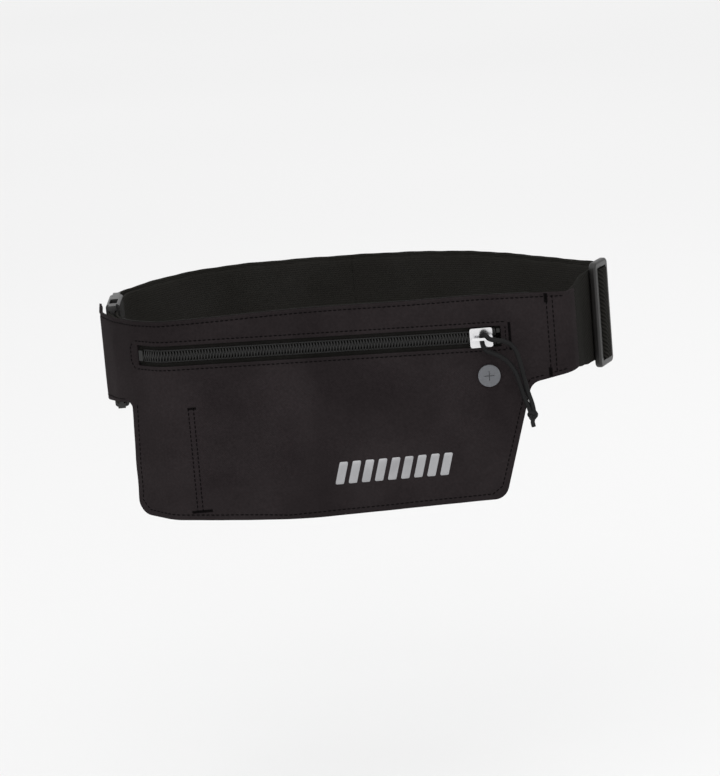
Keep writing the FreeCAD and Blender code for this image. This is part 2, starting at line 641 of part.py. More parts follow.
running_face = sketch("running_webbing_plan", layer_outline(running_path, -webbing / 2, webbing / 2))
node("strap_outer_run", extruded("running_webbing", running_face, Vec(0, 0, 1), "Dims.band_height", "z",
                                 "-Dims.band_height / 2"))

# The returning webbing: folded round the bar of the plug, back inside the running layer, sewn to the centre bar.
return_corners = back_points[:-4]
chain = [weave[3]] + back_points
return_points = [moved_corner(chain[i - 1], chain[i], chain[i + 1], layer_step)
                 for i in range(1, len(return_corners) + 1)]
return_radii = [radius - layer_step for radius in back_radii[:len(return_corners)]]
sewn_end = [at_adjuster(2.35, -3.75), at_adjuster(2.35, 1.05), at_adjuster(-2.35, 1.05),
            at_adjuster(-2.35, -under_bar - layer_step)]
fold_y = -1.0 - gap - webbing / 2
return_tail = [(-127.4, 28.0), (plug_inner_x, 9.0), (plug_inner_x, fold_y), (plug_outer_x, fold_y),
               (plug_outer_x, 0.3)]
return_path = rounded(sewn_end + return_points + return_tail,
                      [0, 1.1, 1.1, 1.1] + return_radii + [38.0, 20.0, 1.5, 1.5, 0])
return_face = sketch("returning_webbing_plan", layer_outline(return_path, -webbing / 2, webbing / 2))
node("strap_inner_run", extruded("returning_webbing", return_face, Vec(0, 0, 1), "Dims.band_height", "z",
                                 "-Dims.band_height / 2"))

# A short tab of the same webbing holds the socket: sewn behind the fabric, folded round the socket's bar.
bar_front_y = dim("socket_front_y") - 5.0
tab_fold_y = bar_front_y + 2.4 + gap + webbing / 2
hip_start = between(front_plan[3], front_plan[4], 0.66)
outer_leg = [moved_corner(front_plan[3], hip_start, front_plan[4], -strap_seat),
             moved_corner(front_plan[3], front_plan[4], front_plan[5], -strap_seat - gap)]
inner_leg = [moved_corner(front_plan[3], hip_start, front_plan[4], -strap_seat - layer_step),
             moved_corner(front_plan[3], front_plan[4], front_plan[5], -strap_seat - gap - layer_step)]
tab_points = outer_leg + [(plug_outer_x, -41.8), (plug_outer_x, tab_fold_y), (plug_inner_x, tab_fold_y),
                          (plug_inner_x, -43.4)] + inner_leg[::-1]
tab_radii = [0, 34.0 - strap_seat, 9.0, 1.5, 1.5, 8.0, 34.0 - strap_seat - layer_step, 0]
tab_path = rounded(tab_points, tab_radii)
tab_face = sketch("buckle_tab_plan", layer_outline(tab_path, -webbing / 2, webbing / 2))
node("buckle_tab", extruded("tab_webbing", tab_face, Vec(0, 0, 1), "Dims.band_height", "z",
                            "-Dims.band_height / 2"))
for title, path in (("running webbing", running_path), ("returning webbing", return_path), ("buckle tab", tab_path)):
    print(title, "length", round(path_length(path), 1))

# ---------------------------------------------------------------- adjuster

half_length = dim("adjuster_length") / 2
half_height = dim("adjuster_height") / 2
frame_face = sketch("adjuster_outline", curves(rounded(
    [(-half_length, -half_height), (half_length, -half_height), (half_length, half_height), (-half_length, half_height)],
    [3.2] * 4, closed=True)), UPRIGHT)
frame_block = extruded("adjuster_block", frame_face, Vec(0, 1, 0), "Dims.adjuster_thickness", "y",
                       "-Dims.adjuster_thickness / 2")
slots = []
for name, slot_x in (("front_slot", "-1.3 - Dims.adjuster_slot"), ("rear_slot", "1.3 mm")):
    slots.append(block(name, "Dims.adjuster_slot", "12 mm", "Dims.band_height + 1", slot_x, "-6 mm",
                       "-Dims.band_height / 2 - 0.5"))
bar_recess = block("bar_recess", "2.8 mm", "4 mm", "Dims.band_height + 1", "-1.4 mm", "-4 mm",
                   "-Dims.band_height / 2 - 0.5")
centre_bar = block("centre_bar", "2.6 mm", "Dims.centre_bar_depth", "Dims.band_height + 1.4", "-1.3 mm", "0 mm",
                   "-Dims.band_height / 2 - 0.7")
frame_open = without("adjuster_open", frame_block, slots + [bar_recess])
doc.recompute()


def frame_rim(edge):
    """The outer rim of the frame, on both faces."""
    box = edge.BoundBox
    outside = max(abs(box.XMin), abs(box.XMax)) > dim("adjuster_length") / 2 - 3.3 or \
        max(abs(box.ZMin), abs(box.ZMax)) > dim("adjuster_height") / 2 - 3.3
    on_face = abs(abs(box.Center.y) - half_frame) < 0.01
    inner = abs(box.Center.x) < dim("adjuster_slot") + 1.4 and abs(box.Center.z) < dim("band_height") / 2 + 0.6
    return outside and on_face and not inner


frame_round = filleted("adjuster_round", frame_open, 1.3, frame_rim)
frame_done = joined("adjuster_frame_solid", [frame_round, centre_bar])
frame_done.Placement = FreeCAD.Placement(Vec(dim("adjuster_x"), dim("adjuster_y"), 0),
                                         FreeCAD.Rotation(Vec(0, 0, 1), dim("adjuster_turn")))
node("adjuster_frame", frame_done)

# ---------------------------------------------------------------- side release buckle

left_face = "Dims.buckle_x - Dims.buckle_thickness / 2"
low_edge = "-Dims.buckle_height / 2"
rail_low = "Dims.band_height / 2 + 0.6"
rail_height = "Dims.buckle_height / 2 - Dims.band_height / 2 - 0.6"
socket_body = block("socket_body", "Dims.buckle_thickness", "Dims.socket_mouth_y - Dims.socket_front_y",
                    "Dims.buckle_height", left_face, "Dims.socket_front_y", low_edge)
socket_bar = block("socket_bar", "2.4 mm", "2.4 mm", "Dims.band_height + 2", "Dims.buckle_x - 1.2",
                   "Dims.socket_front_y - 5", "-Dims.band_height / 2 - 1")
socket_rails = [block(name, "4 mm", "6 mm", rail_height, "Dims.buckle_x - 2", "Dims.socket_front_y - 5", low)
                for name, low in (("socket_rail_upper", rail_low), ("socket_rail_lower", low_edge))]
socket_space = block("socket_space", "4.2 mm", "Dims.socket_mouth_y - Dims.socket_front_y - 2 + 1",
                     "Dims.buckle_height - 2 * Dims.buckle_rail - 0.8", "Dims.buckle_x - 2.1",
                     "Dims.socket_front_y + 2", "-Dims.band_height / 2 + 0.4")
socket_window = block("socket_window", "4.2 mm", "13.5 mm", "Dims.buckle_height + 2", "Dims.buckle_x - 2.1",
                      "-33.4 mm", "-Dims.buckle_height / 2 - 1")
doc.recompute()


def long_rim(edge):
    """The edges of a housing that run along the webbing."""
    return runs_along(edge, Vec(0, 1, 0)) and abs(edge.BoundBox.Center.z) > dim("buckle_height") / 2 - 0.1


socket_round = filleted("socket_round", socket_body, 1.6, long_rim)
socket_blank = joined("socket_blank", [socket_round, socket_bar] + socket_rails)
node("buckle_socket", without("socket", socket_blank, [socket_space, socket_window]))

base_y = "Dims.socket_mouth_y + Dims.mating_gap"
plug_base = block("plug_base", "Dims.buckle_thickness", "4.7 mm", "Dims.buckle_height", left_face, base_y, low_edge)
plug_rails = [block(name, "4 mm", "7 mm", rail_height, "Dims.buckle_x - 2", "-5.4 mm", low)
              for name, low in (("plug_rail_upper", rail_low), ("plug_rail_lower", low_edge))]
plug_bar = block("plug_bar", "2.4 mm", "2.6 mm", "Dims.band_height + 2", "Dims.buckle_x - 1.2", "-1 mm",
                 "-Dims.band_height / 2 - 1")
tongue = block("tongue", "Dims.arm_thickness", "24 mm", "11 mm", "Dims.buckle_x - Dims.arm_thickness / 2",
               "-33 mm", "-5.5 mm")
doc.recompute()
plug_base_round = filleted("plug_base_round", plug_base, 1.6, long_rim)
plug_bar_round = filleted("plug_bar_round", plug_bar, 0.6, lambda edge: runs_along(edge, Vec(0, 0, 1)))
plug_blank = joined("plug_blank", [plug_base_round, plug_bar_round, tongue] + plug_rails)
arm_cuts = []
for side in (1, -1):
    name = "upper" if side > 0 else "lower"
    arm_cuts.append(cylinder(f"{name}_root_seat", "Dims.arm_root_radius + Dims.running_clearance",
                             "Dims.arm_thickness + 0.2", "Dims.buckle_x - Dims.arm_thickness / 2 - 0.1",
                             "Dims.arm_pivot_y", f"{side} * Dims.arm_pivot_z", ALONG_X))
    arm_cuts.append(block(f"{name}_neck_way", "Dims.arm_thickness + 0.2", "3 mm", "4.8 mm",
                          "Dims.buckle_x - Dims.arm_thickness / 2 - 0.1", "Dims.arm_pivot_y - 3",
                          f"{side} * Dims.arm_pivot_z - 2.4"))
node("buckle_plug", without("plug", plug_blank, arm_cuts))

# Side arms: a round root in the plug, a neck, and a pad that stands in the window of the socket.
pivot_y = dim("arm_pivot_y")
pivot_z = dim("arm_pivot_z")
edge_z = dim("buckle_height") / 2
ARM = ((pivot_y, pivot_z - 1.5), (-21.0, edge_z - 13.4), (-33.0, edge_z - 10.7), (-34.2, edge_z - 6.3),
       (-31.2, edge_z - 0.5), (-20.6, edge_z - 2.0), (-18.6, edge_z - 9.7), (pivot_y, pivot_z + 1.5))
for side, label in ((1, "buckle_arm_upper"), (-1, "buckle_arm_lower")):
    corners = [(y, side * z) for y, z in ARM]
    if side < 0:
        corners.reverse()
    radii = [0.0 if abs(y - pivot_y) < 0.01 else 1.0 for y, z in corners]
    arm_face = sketch(f"{label}_outline", curves(rounded(corners, radii, closed=True)), SIDEWAYS)
    arm_blade = extruded(f"{label}_blade", arm_face, Vec(1, 0, 0), "Dims.arm_thickness", "x",
                         "Dims.buckle_x - Dims.arm_thickness / 2")
    arm_root = cylinder(f"{label}_root", "Dims.arm_root_radius", "Dims.arm_thickness",
                        "Dims.buckle_x - Dims.arm_thickness / 2", "Dims.arm_pivot_y",
                        f"{side} * Dims.arm_pivot_z", ALONG_X)
    node(label, joined(f"{label}_solid", [arm_blade, arm_root]))

# ---------------------------------------------------------------- check and export

doc.recompute()
faults = [obj.Name for obj in doc.Objects if "Invalid" in obj.State or "Error" in obj.State]
for obj in nodes:
    shape = obj.Shape
    if shape.isNull() or not shape.isValid() or not shape.Solids:
        faults.append(obj.Label)
        continue
    box = shape.BoundBox
    print(f"{obj.Label:22s} solids {len(shape.Solids):2d} volume {shape.Volume:9.1f} "
          f"x {box.XMin:7.1f} {box.XMax:7.1f} y {box.YMin:7.1f} {box.YMax:7.1f} z {box.ZMin:7.1f} {box.ZMax:7.1f}")
    shape.exportStep(os.path.join("parts", f"{obj.Label}.step"))
if faults:
    raise RuntimeError("not sound: " + ", ".join(faults))
print("nodes", len(nodes))
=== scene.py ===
import logging
import math
from dataclasses import dataclass, field
from enum import Enum
from functools import partial
from typing import Callable, Sequence

import bpy
import numpy as np
from mathutils import Matrix, Vector


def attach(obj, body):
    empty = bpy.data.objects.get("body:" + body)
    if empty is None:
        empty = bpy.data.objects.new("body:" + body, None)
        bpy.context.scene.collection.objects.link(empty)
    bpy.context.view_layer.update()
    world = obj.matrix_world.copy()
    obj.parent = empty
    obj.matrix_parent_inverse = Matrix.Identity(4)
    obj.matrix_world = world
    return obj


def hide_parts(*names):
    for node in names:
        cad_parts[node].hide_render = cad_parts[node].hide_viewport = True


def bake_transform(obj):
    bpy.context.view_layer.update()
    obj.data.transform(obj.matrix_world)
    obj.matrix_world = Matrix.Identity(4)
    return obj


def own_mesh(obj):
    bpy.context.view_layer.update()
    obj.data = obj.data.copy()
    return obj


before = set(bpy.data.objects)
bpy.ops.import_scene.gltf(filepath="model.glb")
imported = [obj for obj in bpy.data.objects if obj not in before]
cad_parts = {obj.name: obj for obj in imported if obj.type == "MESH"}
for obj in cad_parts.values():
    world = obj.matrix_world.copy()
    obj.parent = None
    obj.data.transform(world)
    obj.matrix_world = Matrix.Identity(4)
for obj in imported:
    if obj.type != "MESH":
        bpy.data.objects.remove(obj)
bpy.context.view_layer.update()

MILLI = 0.001
Point2 = tuple[float, float]
Point3 = tuple[float, float, float]
log = logging.getLogger("waist_pouch")


# ---------------------------------------------------------------- camera

@dataclass(frozen=True)
class Viewpoint:
    """A long lens that looks at one point of the belt.

    Attributes:
        target: the point in the middle of the view, in millimetres.
        distance: from the lens to the target, in millimetres.
        focal_length: of the lens on a sensor 36 mm wide, in millimetres.
        elevation: degrees above the horizon.
        roll: degrees by which the belt stands turned in the view.
    """

    target: Point3 = (-1.5, -83.0, -20.0)
    distance: float = 1600.0
    focal_length: float = 140.05
    elevation: float = 11.5
    roll: float = 4.9

    def place(self) -> bpy.types.Object:
        """Make the scene's camera.

        Returns:
            The camera object.
        """
        tilt = math.radians(self.elevation)
        roll = math.radians(self.roll)
        forward = Vector((0.0, math.cos(tilt), -math.sin(tilt)))
        level = Vector((1.0, 0.0, 0.0))
        upright = level.cross(forward)
        right = level * math.cos(roll) - upright * math.sin(roll)
        up = level * math.sin(roll) + upright * math.cos(roll)
        data = bpy.data.cameras.new("camera")
        data.sensor_width = 36.0
        data.lens = self.focal_length
        data.clip_start = 0.05
        data.clip_end = 60.0
        data.dof.use_dof = False
        camera = bpy.data.objects.new("camera", data)
        bpy.context.scene.collection.objects.link(camera)
        turn = Matrix((right, up, -forward)).transposed()
        place = (Vector(self.target) - forward * self.distance) * MILLI
        camera.matrix_world = Matrix.Translation(place) @ turn.to_4x4()
        bpy.context.scene.camera = camera
        return camera


# ---------------------------------------------------------------- finishes

class Slot(Enum):
    """The record's material slots."""

    SHELL = "shell_fabric"
    LINING = "lining_fabric"
    TAPE = "zip_tape"
    TEETH = "zip_teeth"
    SLIDER = "slider_metal"
    CORD = "cord"
    PORT = "port_rubber"
    REFLECTIVE = "reflective_film"
    THREAD = "thread"
    ELASTIC = "elastic"
    PLASTIC = "dark_plastic"


Colour = tuple[float, float, float]


class NodeBench:
    """Adds shader nodes to one material and wires them up."""

    def __init__(self, name: str) -> None:
        """Start a node material.

        Args:
            name: the material's name.
        """
        self.material = bpy.data.materials.new(name)
        self.material.use_nodes = True
        self.tree = self.material.node_tree
        self.tree.nodes.clear()

    def add(self, kind: str, values: dict | None = None, **props: object) -> bpy.types.Node:
        """Add a node.

        Args:
            kind: the node's type name.
            values: input socket name or index to a constant or to another node's output.
            **props: the node's own settings.

        Returns:
            The node.
        """
        made = self.tree.nodes.new(kind)
        for prop, value in props.items():
            setattr(made, prop, value)
        for socket, value in (values or {}).items():
            self.feed(made.inputs[socket], value)
        return made

    def feed(self, socket: bpy.types.NodeSocket, value: object) -> None:
        """Give an input its constant or its link.

        Args:
            socket: the input.
            value: an output socket, a number, or a sequence of numbers.
        """
        if isinstance(value, bpy.types.NodeSocket):
            self.tree.links.new(value, socket)
        elif isinstance(value, (int, float)):
            socket.default_value = value
        else:
            numbers = list(value)
            if len(numbers) == 3 and len(socket.default_value) == 4:
                numbers.append(1.0)
            socket.default_value = numbers

    def mix(self, share: object, first: object, second: object) -> bpy.types.NodeSocket:
        """Mix two colours.

        Args:
            share: how much of the second colour.
            first: colour at 0.
            second: colour at 1.

        Returns:
            The mixed colour's socket.
        """
        node = self.add("ShaderNodeMix", data_type="RGBA")
        self.feed(node.inputs[0], share)
        self.feed(node.inputs[6], first)
        self.feed(node.inputs[7], second)
        return node.outputs[2]

    def maths(self, operation: str, first: object, second: object = 0.0) -> bpy.types.NodeSocket:
        """Combine two numbers.

        Args:
            operation: the sum to do.
            first: first number.
            second: second number.

        Returns:
            The result's socket.
        """
        node = self.add("ShaderNodeMath", {0: first, 1: second}, operation=operation)
        return node.outputs[0]

    def remap(self, value: object, low: float, high: float, new_low: float,
              new_high: float) -> bpy.types.NodeSocket:
        """Stretch a number from one range to another.

        Args:
            value: the number.
            low: start of the old range.
            high: end of the old range.
            new_low: start of the new range.
            new_high: end of the new range.

        Returns:
            The result's socket.
        """
        node = self.add("ShaderNodeMapRange", {0: value, 1: low, 2: high, 3: new_low, 4: new_high})
        return node.outputs[0]

    def noise(self, where: object, scale: float, detail: float = 3.0) -> bpy.types.NodeSocket:
        """Soft random variation.

        Args:
            where: coordinates.
            scale: how fine it is.
            detail: octaves.

        Returns:
            The noise's socket, about 0 to 1.
        """
        return self.add("ShaderNodeTexNoise", {"Vector": where, "Scale": scale, "Detail": detail}).outputs[0]

    def finish(self, surface: bpy.types.NodeSocket) -> bpy.types.Material:
        """Close the material.

        Args:
            surface: the shader.

        Returns:
            The material.
        """
        self.add("ShaderNodeOutputMaterial", {"Surface": surface})
        return self.material


@dataclass(frozen=True)
class Finish:
    """Base of the finishes: a slot of the record and a colour."""

    slot: Slot
    colour: Colour
    roughness: float = 0.6

    @property
    def label(self) -> str:
        """Name of the finish's material."""
        return f"finish_{self.slot.value}"

    def build(self) -> bpy.types.Material:
        """Make the material.

        Returns:
            The material.
        """
        raise NotImplementedError

    def dress(self, piece: bpy.types.Object) -> None:
        """Put the finish on a piece.

        Args:
            piece: the object to dress.
        """
        name = self.label
        material = bpy.data.materials.get(name)
        if material is None:
            material = self.build()
            material.name = name
        piece.data.materials.clear()
        piece.data.materials.append(material)


class Weave(Enum):
    """How a fabric is made, which sets its relief."""

    KNIT = "knit"
    RIBBED = "ribbed"
    TWILL = "twill"
    PLAIN = "plain"


@dataclass(frozen=True)
class FabricFinish(Finish):
    """A woven or knitted fabric, laid out by its flat coordinates in millimetres.

    Attributes:
        weave: the kind of fabric.
        pitch: millimetres from one rib or wale to the next.
        relief: how deep the weave is, in millimetres.
        sheen: soft light at grazing angles.
        tint: colour of the lighter patches.
        contrast: how much darker the grooves of the weave are than its ribs.
    """

    weave: Weave = Weave.KNIT
    pitch: float = 0.9
    relief: float = 0.12
    sheen: float = 0.3
    tint: Colour = (0.03, 0.028, 0.028)
    contrast: float = 0.34

    @property
    def label(self) -> str:
        """Name of the finish's material."""
        return f"{self.weave.value}_{self.slot.value}"

    def pattern(self, bench: NodeBench, along: object, across: object) -> bpy.types.NodeSocket:
        """Height of the weave.

        Args:
            bench: the material's bench.
            along: flat coordinate along the fabric.
            across: flat coordinate across the fabric.

        Returns:
            A number from 0 to 1.
        """
        turn = 2 * math.pi / self.pitch
        if self.weave is Weave.RIBBED:
            ribs = bench.maths("SINE", bench.maths("MULTIPLY", across, turn))
            slant = bench.maths("ADD", bench.maths("MULTIPLY", along, turn * 0.8),
                                bench.maths("MULTIPLY", across, turn * 0.8))
            both = bench.maths("ADD", bench.maths("MULTIPLY", ribs, 0.7),
                               bench.maths("MULTIPLY", bench.maths("SINE", slant), 0.45))
            return bench.remap(both, -1.1, 1.1, 0.0, 1.0)
        if self.weave is Weave.TWILL:
            slant = bench.maths("MULTIPLY", bench.maths("ADD", along, across), turn)
            return bench.remap(bench.maths("SINE", slant), -1.0, 1.0, 0.0, 1.0)
        first = bench.maths("SINE", bench.maths("MULTIPLY", along, turn))
        second = bench.maths("SINE", bench.maths("MULTIPLY", across, turn * 0.7))
        return bench.remap(bench.maths("MULTIPLY", first, second), -1.0, 1.0, 0.0, 1.0)

    def build(self) -> bpy.types.Material:
        """Make the fabric's material.

        Returns:
            The material.
        """
        bench = NodeBench(self.slot.value)
        flat = bench.add("ShaderNodeUVMap", uv_map="flat").outputs[0]
        split = bench.add("ShaderNodeSeparateXYZ", {0: flat})
        weave = self.pattern(bench, split.outputs[0], split.outputs[1])
        place = bench.add("ShaderNodeTexCoord").outputs["Object"]
        broad = bench.noise(place, 26.0, 4.0)
        fine = bench.noise(place, 900.0, 2.0)
        worn = bench.remap(broad, 0.36, 0.66, 0.0, 1.0)
        body = bench.mix(worn, self.colour, self.tint)
        threads = bench.remap(weave, 0.0, 1.0, 0.95 - self.contrast / 2, 0.95 + self.contrast / 2)
        lint = bench.remap(fine, 0.3, 0.75, 0.86, 1.14)
        shade = bench.maths("MULTIPLY", threads, lint)
        bright = bench.add("ShaderNodeHueSaturation", {"Value": shade, "Color": body}).outputs[0]
        height = bench.maths("ADD", weave, bench.maths("MULTIPLY", fine, 0.5))
        bump = bench.add("ShaderNodeBump", {
            "Height": height, "Distance": self.relief * MILLI, "Strength": 0.9})
        rough = bench.remap(broad, 0.3, 0.7, self.roughness - 0.05, self.roughness + 0.06)
        surface = bench.add("ShaderNodeBsdfPrincipled", {
            "Base Color": bright, "Roughness": rough, "Normal": bump.outputs[0],
            "Sheen Weight": self.sheen, "Sheen Roughness": 0.45, "Specular IOR Level": 0.02})
        return bench.finish(surface.outputs[0])


@dataclass(frozen=True)
class HardFinish(Finish):
    """Plastic, rubber, metal or film.

    Attributes:
        metal: 1 for metal.
        grain: size of the surface grain, larger is finer.
        grain_depth: depth of the grain in millimetres.
        variation: how much the colour varies.
        coat: clear layer.
        translucency: light let through.
        specular: strength of its reflections.
    """

    metal: float = 0.0
    grain: float = 700.0
    grain_depth: float = 0.02
    variation: float = 0.12
    coat: float = 0.0
    translucency: float = 0.0
    specular: float = 0.5

    def build(self) -> bpy.types.Material:
        """Make the material.

        Returns:
            The material.
        """
        bench = NodeBench(self.slot.value)
        place = bench.add("ShaderNodeTexCoord").outputs["Object"]
        broad = bench.noise(place, 60.0, 4.0)
        fine = bench.noise(place, self.grain, 2.0)
        lighter = tuple(min(1.0, part * (1 + self.variation)) for part in self.colour)
        darker = tuple(part * (1 - self.variation) for part in self.colour)
        colour = bench.mix(bench.remap(broad, 0.35, 0.65, 0.0, 1.0), darker, lighter)
        rubbed = bench.add("ShaderNodeNewGeometry").outputs["Pointiness"]
        edge = bench.remap(rubbed, 0.5, 0.62, 0.0, 0.35)
        worn = bench.mix(edge, colour, tuple(min(1.0, part * 1.5 + 0.02) for part in self.colour))
        bump = bench.add("ShaderNodeBump", {
            "Height": fine, "Distance": self.grain_depth * MILLI, "Strength": 0.6})
        rough = bench.remap(broad, 0.3, 0.7, self.roughness - 0.06, self.roughness + 0.08)
        surface = bench.add("ShaderNodeBsdfPrincipled", {
            "Base Color": worn, "Roughness": rough, "Metallic": self.metal, "Normal": bump.outputs[0],
            "Coat Weight": self.coat, "Coat Roughness": 0.15, "Subsurface Weight": self.translucency,
            "Specular IOR Level": self.specular,
            "Subsurface Radius": (0.004, 0.004, 0.005)})
        return bench.finish(surface.outputs[0])


SHELL_FINISH = FabricFinish(Slot.SHELL, (0.0172, 0.0139, 0.0147), 0.78, Weave.KNIT, 0.85, 0.12, 0.0,
                            (0.0250, 0.0205, 0.0215))
LINING_FINISH = FabricFinish(Slot.LINING, (0.0125, 0.0118, 0.0112), 0.75, Weave.PLAIN, 1.3, 0.15, 0.03,
                             (0.0175, 0.0165, 0.0160))
TAPE_FINISH = FabricFinish(Slot.TAPE, (0.0110, 0.0104, 0.0094), 0.7, Weave.TWILL, 1.0, 0.16, 0.03,
                           (0.0150, 0.0144, 0.0132))
ELASTIC_FINISH = FabricFinish(Slot.ELASTIC, (0.0158, 0.0150, 0.0132), 0.74, Weave.RIBBED, 1.25, 0.26, 0.0,
                              (0.0200, 0.0192, 0.0172))
SLANTED_FINISH = FabricFinish(Slot.ELASTIC, (0.0134, 0.0129, 0.0116), 0.80, Weave.TWILL, 2.3, 0.30, 0.0,
                              (0.0168, 0.0163, 0.0148), 1.0)
CORD_FINISH = HardFinish(Slot.CORD, (0.0036, 0.0036, 0.0038), 0.62, 0.0, 1500.0, 0.30, 0.35, specular=0.18)
# Near-black thread: partly the thread's own dark colour, partly painted shade of the stitch holes and
# puckers.
THREAD_AND_HOLE_SHADE_FINISH = HardFinish(Slot.THREAD, (0.0022, 0.0019, 0.0020), 0.9, 0.0, 1500.0, 0.05, 0.2, specular=0.04)
TEETH_FINISH = HardFinish(Slot.TEETH, (0.0075, 0.0075, 0.0070), 0.50, 0.0, 900.0, 0.02, 0.2, specular=0.28)
METAL_FINISH = HardFinish(Slot.SLIDER, (0.72, 0.72, 0.73), 0.20, 1.0, 500.0, 0.015, 0.08)
PORT_FINISH = HardFinish(Slot.PORT, (0.088, 0.092, 0.102), 0.36, 0.0, 400.0, 0.03, 0.12, 0.2, 0.25)
FILM_FINISH = HardFinish(Slot.REFLECTIVE, (0.33, 0.33, 0.34), 0.34, 0.35, 1600.0, 0.05, 0.1)
PLASTIC_FINISH = HardFinish(Slot.PLASTIC, (0.0105, 0.0100, 0.0095), 0.34, 0.0, 800.0, 0.03, 0.15, 0.05,
                            specular=0.42)


# ---------------------------------------------------------------- flat paths

Piece = tuple[Point2, Point2, Point2 | None, float, float]


def rounded(points: Sequence[Point2], radii: Sequence[float], closed: bool = False) -> list[Piece]:
    """Lines and tangent arcs through a polygon.

    Args:
        points: the polygon's corners.
        radii: the arc's radius at each corner.
        closed: whether the last corner joins the first.

    Returns:
        Pieces of (start, end, centre, radius, sweep); a line has no centre.
    """
    count = len(points)
    cut = {}
    for index in (range(count) if closed else range(1, count - 1)):
        before, here, after = points[index - 1], points[index], points[(index + 1) % count]
        radius = radii[index]
        back = (before[0] - here[0], before[1] - here[1])
        ahead = (after[0] - here[0], after[1] - here[1])
        back_length, ahead_length = math.hypot(*back), math.hypot(*ahead)
        back = (back[0] / back_length, back[1] / back_length)
        ahead = (ahead[0] / ahead_length, ahead[1] / ahead_length)
        turn = math.atan2(-back[0] * ahead[1] + back[1] * ahead[0],
                          -(back[0] * ahead[0] + back[1] * ahead[1]))
        reach = radius * math.tan(abs(turn) / 2)
        start = (here[0] + back[0] * reach, here[1] + back[1] * reach)
        end = (here[0] + ahead[0] * reach, here[1] + ahead[1] * reach)
        side = 1.0 if turn > 0 else -1.0
        centre = (start[0] + back[1] * radius * side, start[1] - back[0] * radius * side)
        cut[index] = (start, end, centre, radius, turn)
    pieces: list[Piece] = []
    for index in (range(count) if closed else range(count - 1)):
        following = (index + 1) % count
        start = cut[index][1] if index in cut else points[index]
        end = cut[following][0] if following in cut else points[following]
        if math.dist(start, end) > 1e-6:
            pieces.append((start, end, None, 0.0, 0.0))
        if following in cut and cut[following][3] > 1e-6:
            pieces.append(cut[following])
    return pieces


def moved_corner(before: Point2, here: Point2, after: Point2, distance: float) -> Point2:
    """The corner of a polygon moved to its left.

    Args:
        before: the corner before it.
        here: the corner.
        after: the corner after it.
        distance: how far to move.

    Returns:
        The moved corner.
    """
    first = math.atan2(here[1] - before[1], here[0] - before[0])
    second = math.atan2(after[1] - here[1], after[0] - here[0])
    half = (second - first + math.pi) % (2 * math.pi) - math.pi
    middle = first + half / 2
    reach = distance / math.cos(half / 2)
    return (here[0] - math.sin(middle) * reach, here[1] + math.cos(middle) * reach)


def widest_radii(points: Sequence[Point2], share: float = 0.45) -> list[float]:
    """The largest tangent arc at each corner of a polygon.

    Args:
        points: the corners.
        share: share of the shorter run that an arc may use.

    Returns:
        One radius for each corner, 0 at both ends.
    """
    radii = [0.0] * len(points)
    for index in range(1, len(points) - 1):
        before = np.subtract(points[index], points[index - 1])
        after = np.subtract(points[index + 1], points[index])
        lengths = np.linalg.norm(before), np.linalg.norm(after)
        turn = math.acos(float(np.clip(before @ after / (lengths[0] * lengths[1]), -1, 1)))
        radii[index] = share * float(min(lengths)) / math.tan(turn / 2)
    return radii


class PlanPath:
    """A path of lines and arcs, measured along its length."""

    def __init__(self, pieces: Sequence[Piece]) -> None:
        """Keep the pieces and where each one starts.

        Args:
            pieces: the path's lines and arcs.
        """
        self.pieces = list(pieces)
        lengths = [math.dist(p[0], p[1]) if p[2] is None else p[3] * abs(p[4]) for p in self.pieces]
        self.starts = np.concatenate([[0.0], np.cumsum(lengths)])

    @property
    def length(self) -> float:
        """Length of the whole path in millimetres."""
        return float(self.starts[-1])

    def at(self, along: float) -> tuple[np.ndarray, np.ndarray]:
        """A point of the path and the direction to its left.

        Args:
            along: distance from the start.

        Returns:
            The point and the unit vector to the left.
        """
        index = int(np.clip(np.searchsorted(self.starts, along, side="right") - 1, 0, len(self.pieces) - 1))
        start, end, centre, radius, sweep = self.pieces[index]
        rest = along - self.starts[index]
        if centre is None:
            heading = np.subtract(end, start) / math.dist(start, end)
            return np.array(start) + heading * rest, np.array([-heading[1], heading[0]])
        turned = math.atan2(start[1] - centre[1], start[0] - centre[0]) + math.copysign(rest / radius, sweep)
        spoke = np.array([math.cos(turned), math.sin(turned)])
        return np.array(centre) + spoke * radius, -spoke if sweep > 0 else spoke

    def stations(self, low: float, high: float, step: float, turn_step: float = 7.0) -> np.ndarray:
        """Places along the path, closer together where it turns tightly.

        Args:
            low: first place.
            high: last place.
            step: widest distance between places.
            turn_step: widest turn between places, in degrees.

        Returns:
            The places in order.
        """
        places = [low, high]
        for index, (_, _, centre, radius, sweep) in enumerate(self.pieces):
            first, last = self.starts[index], self.starts[index + 1]
            count = math.ceil((last - first) / step)
            if centre is not None:
                count = max(count, math.ceil(math.degrees(abs(sweep)) / turn_step))
            places.extend(np.linspace(first, last, max(2, count + 1)))
        kept = np.unique(np.round([p for p in places if low - 1e-6 <= p <= high + 1e-6], 4))
        return kept


# ---------------------------------------------------------------- meshes

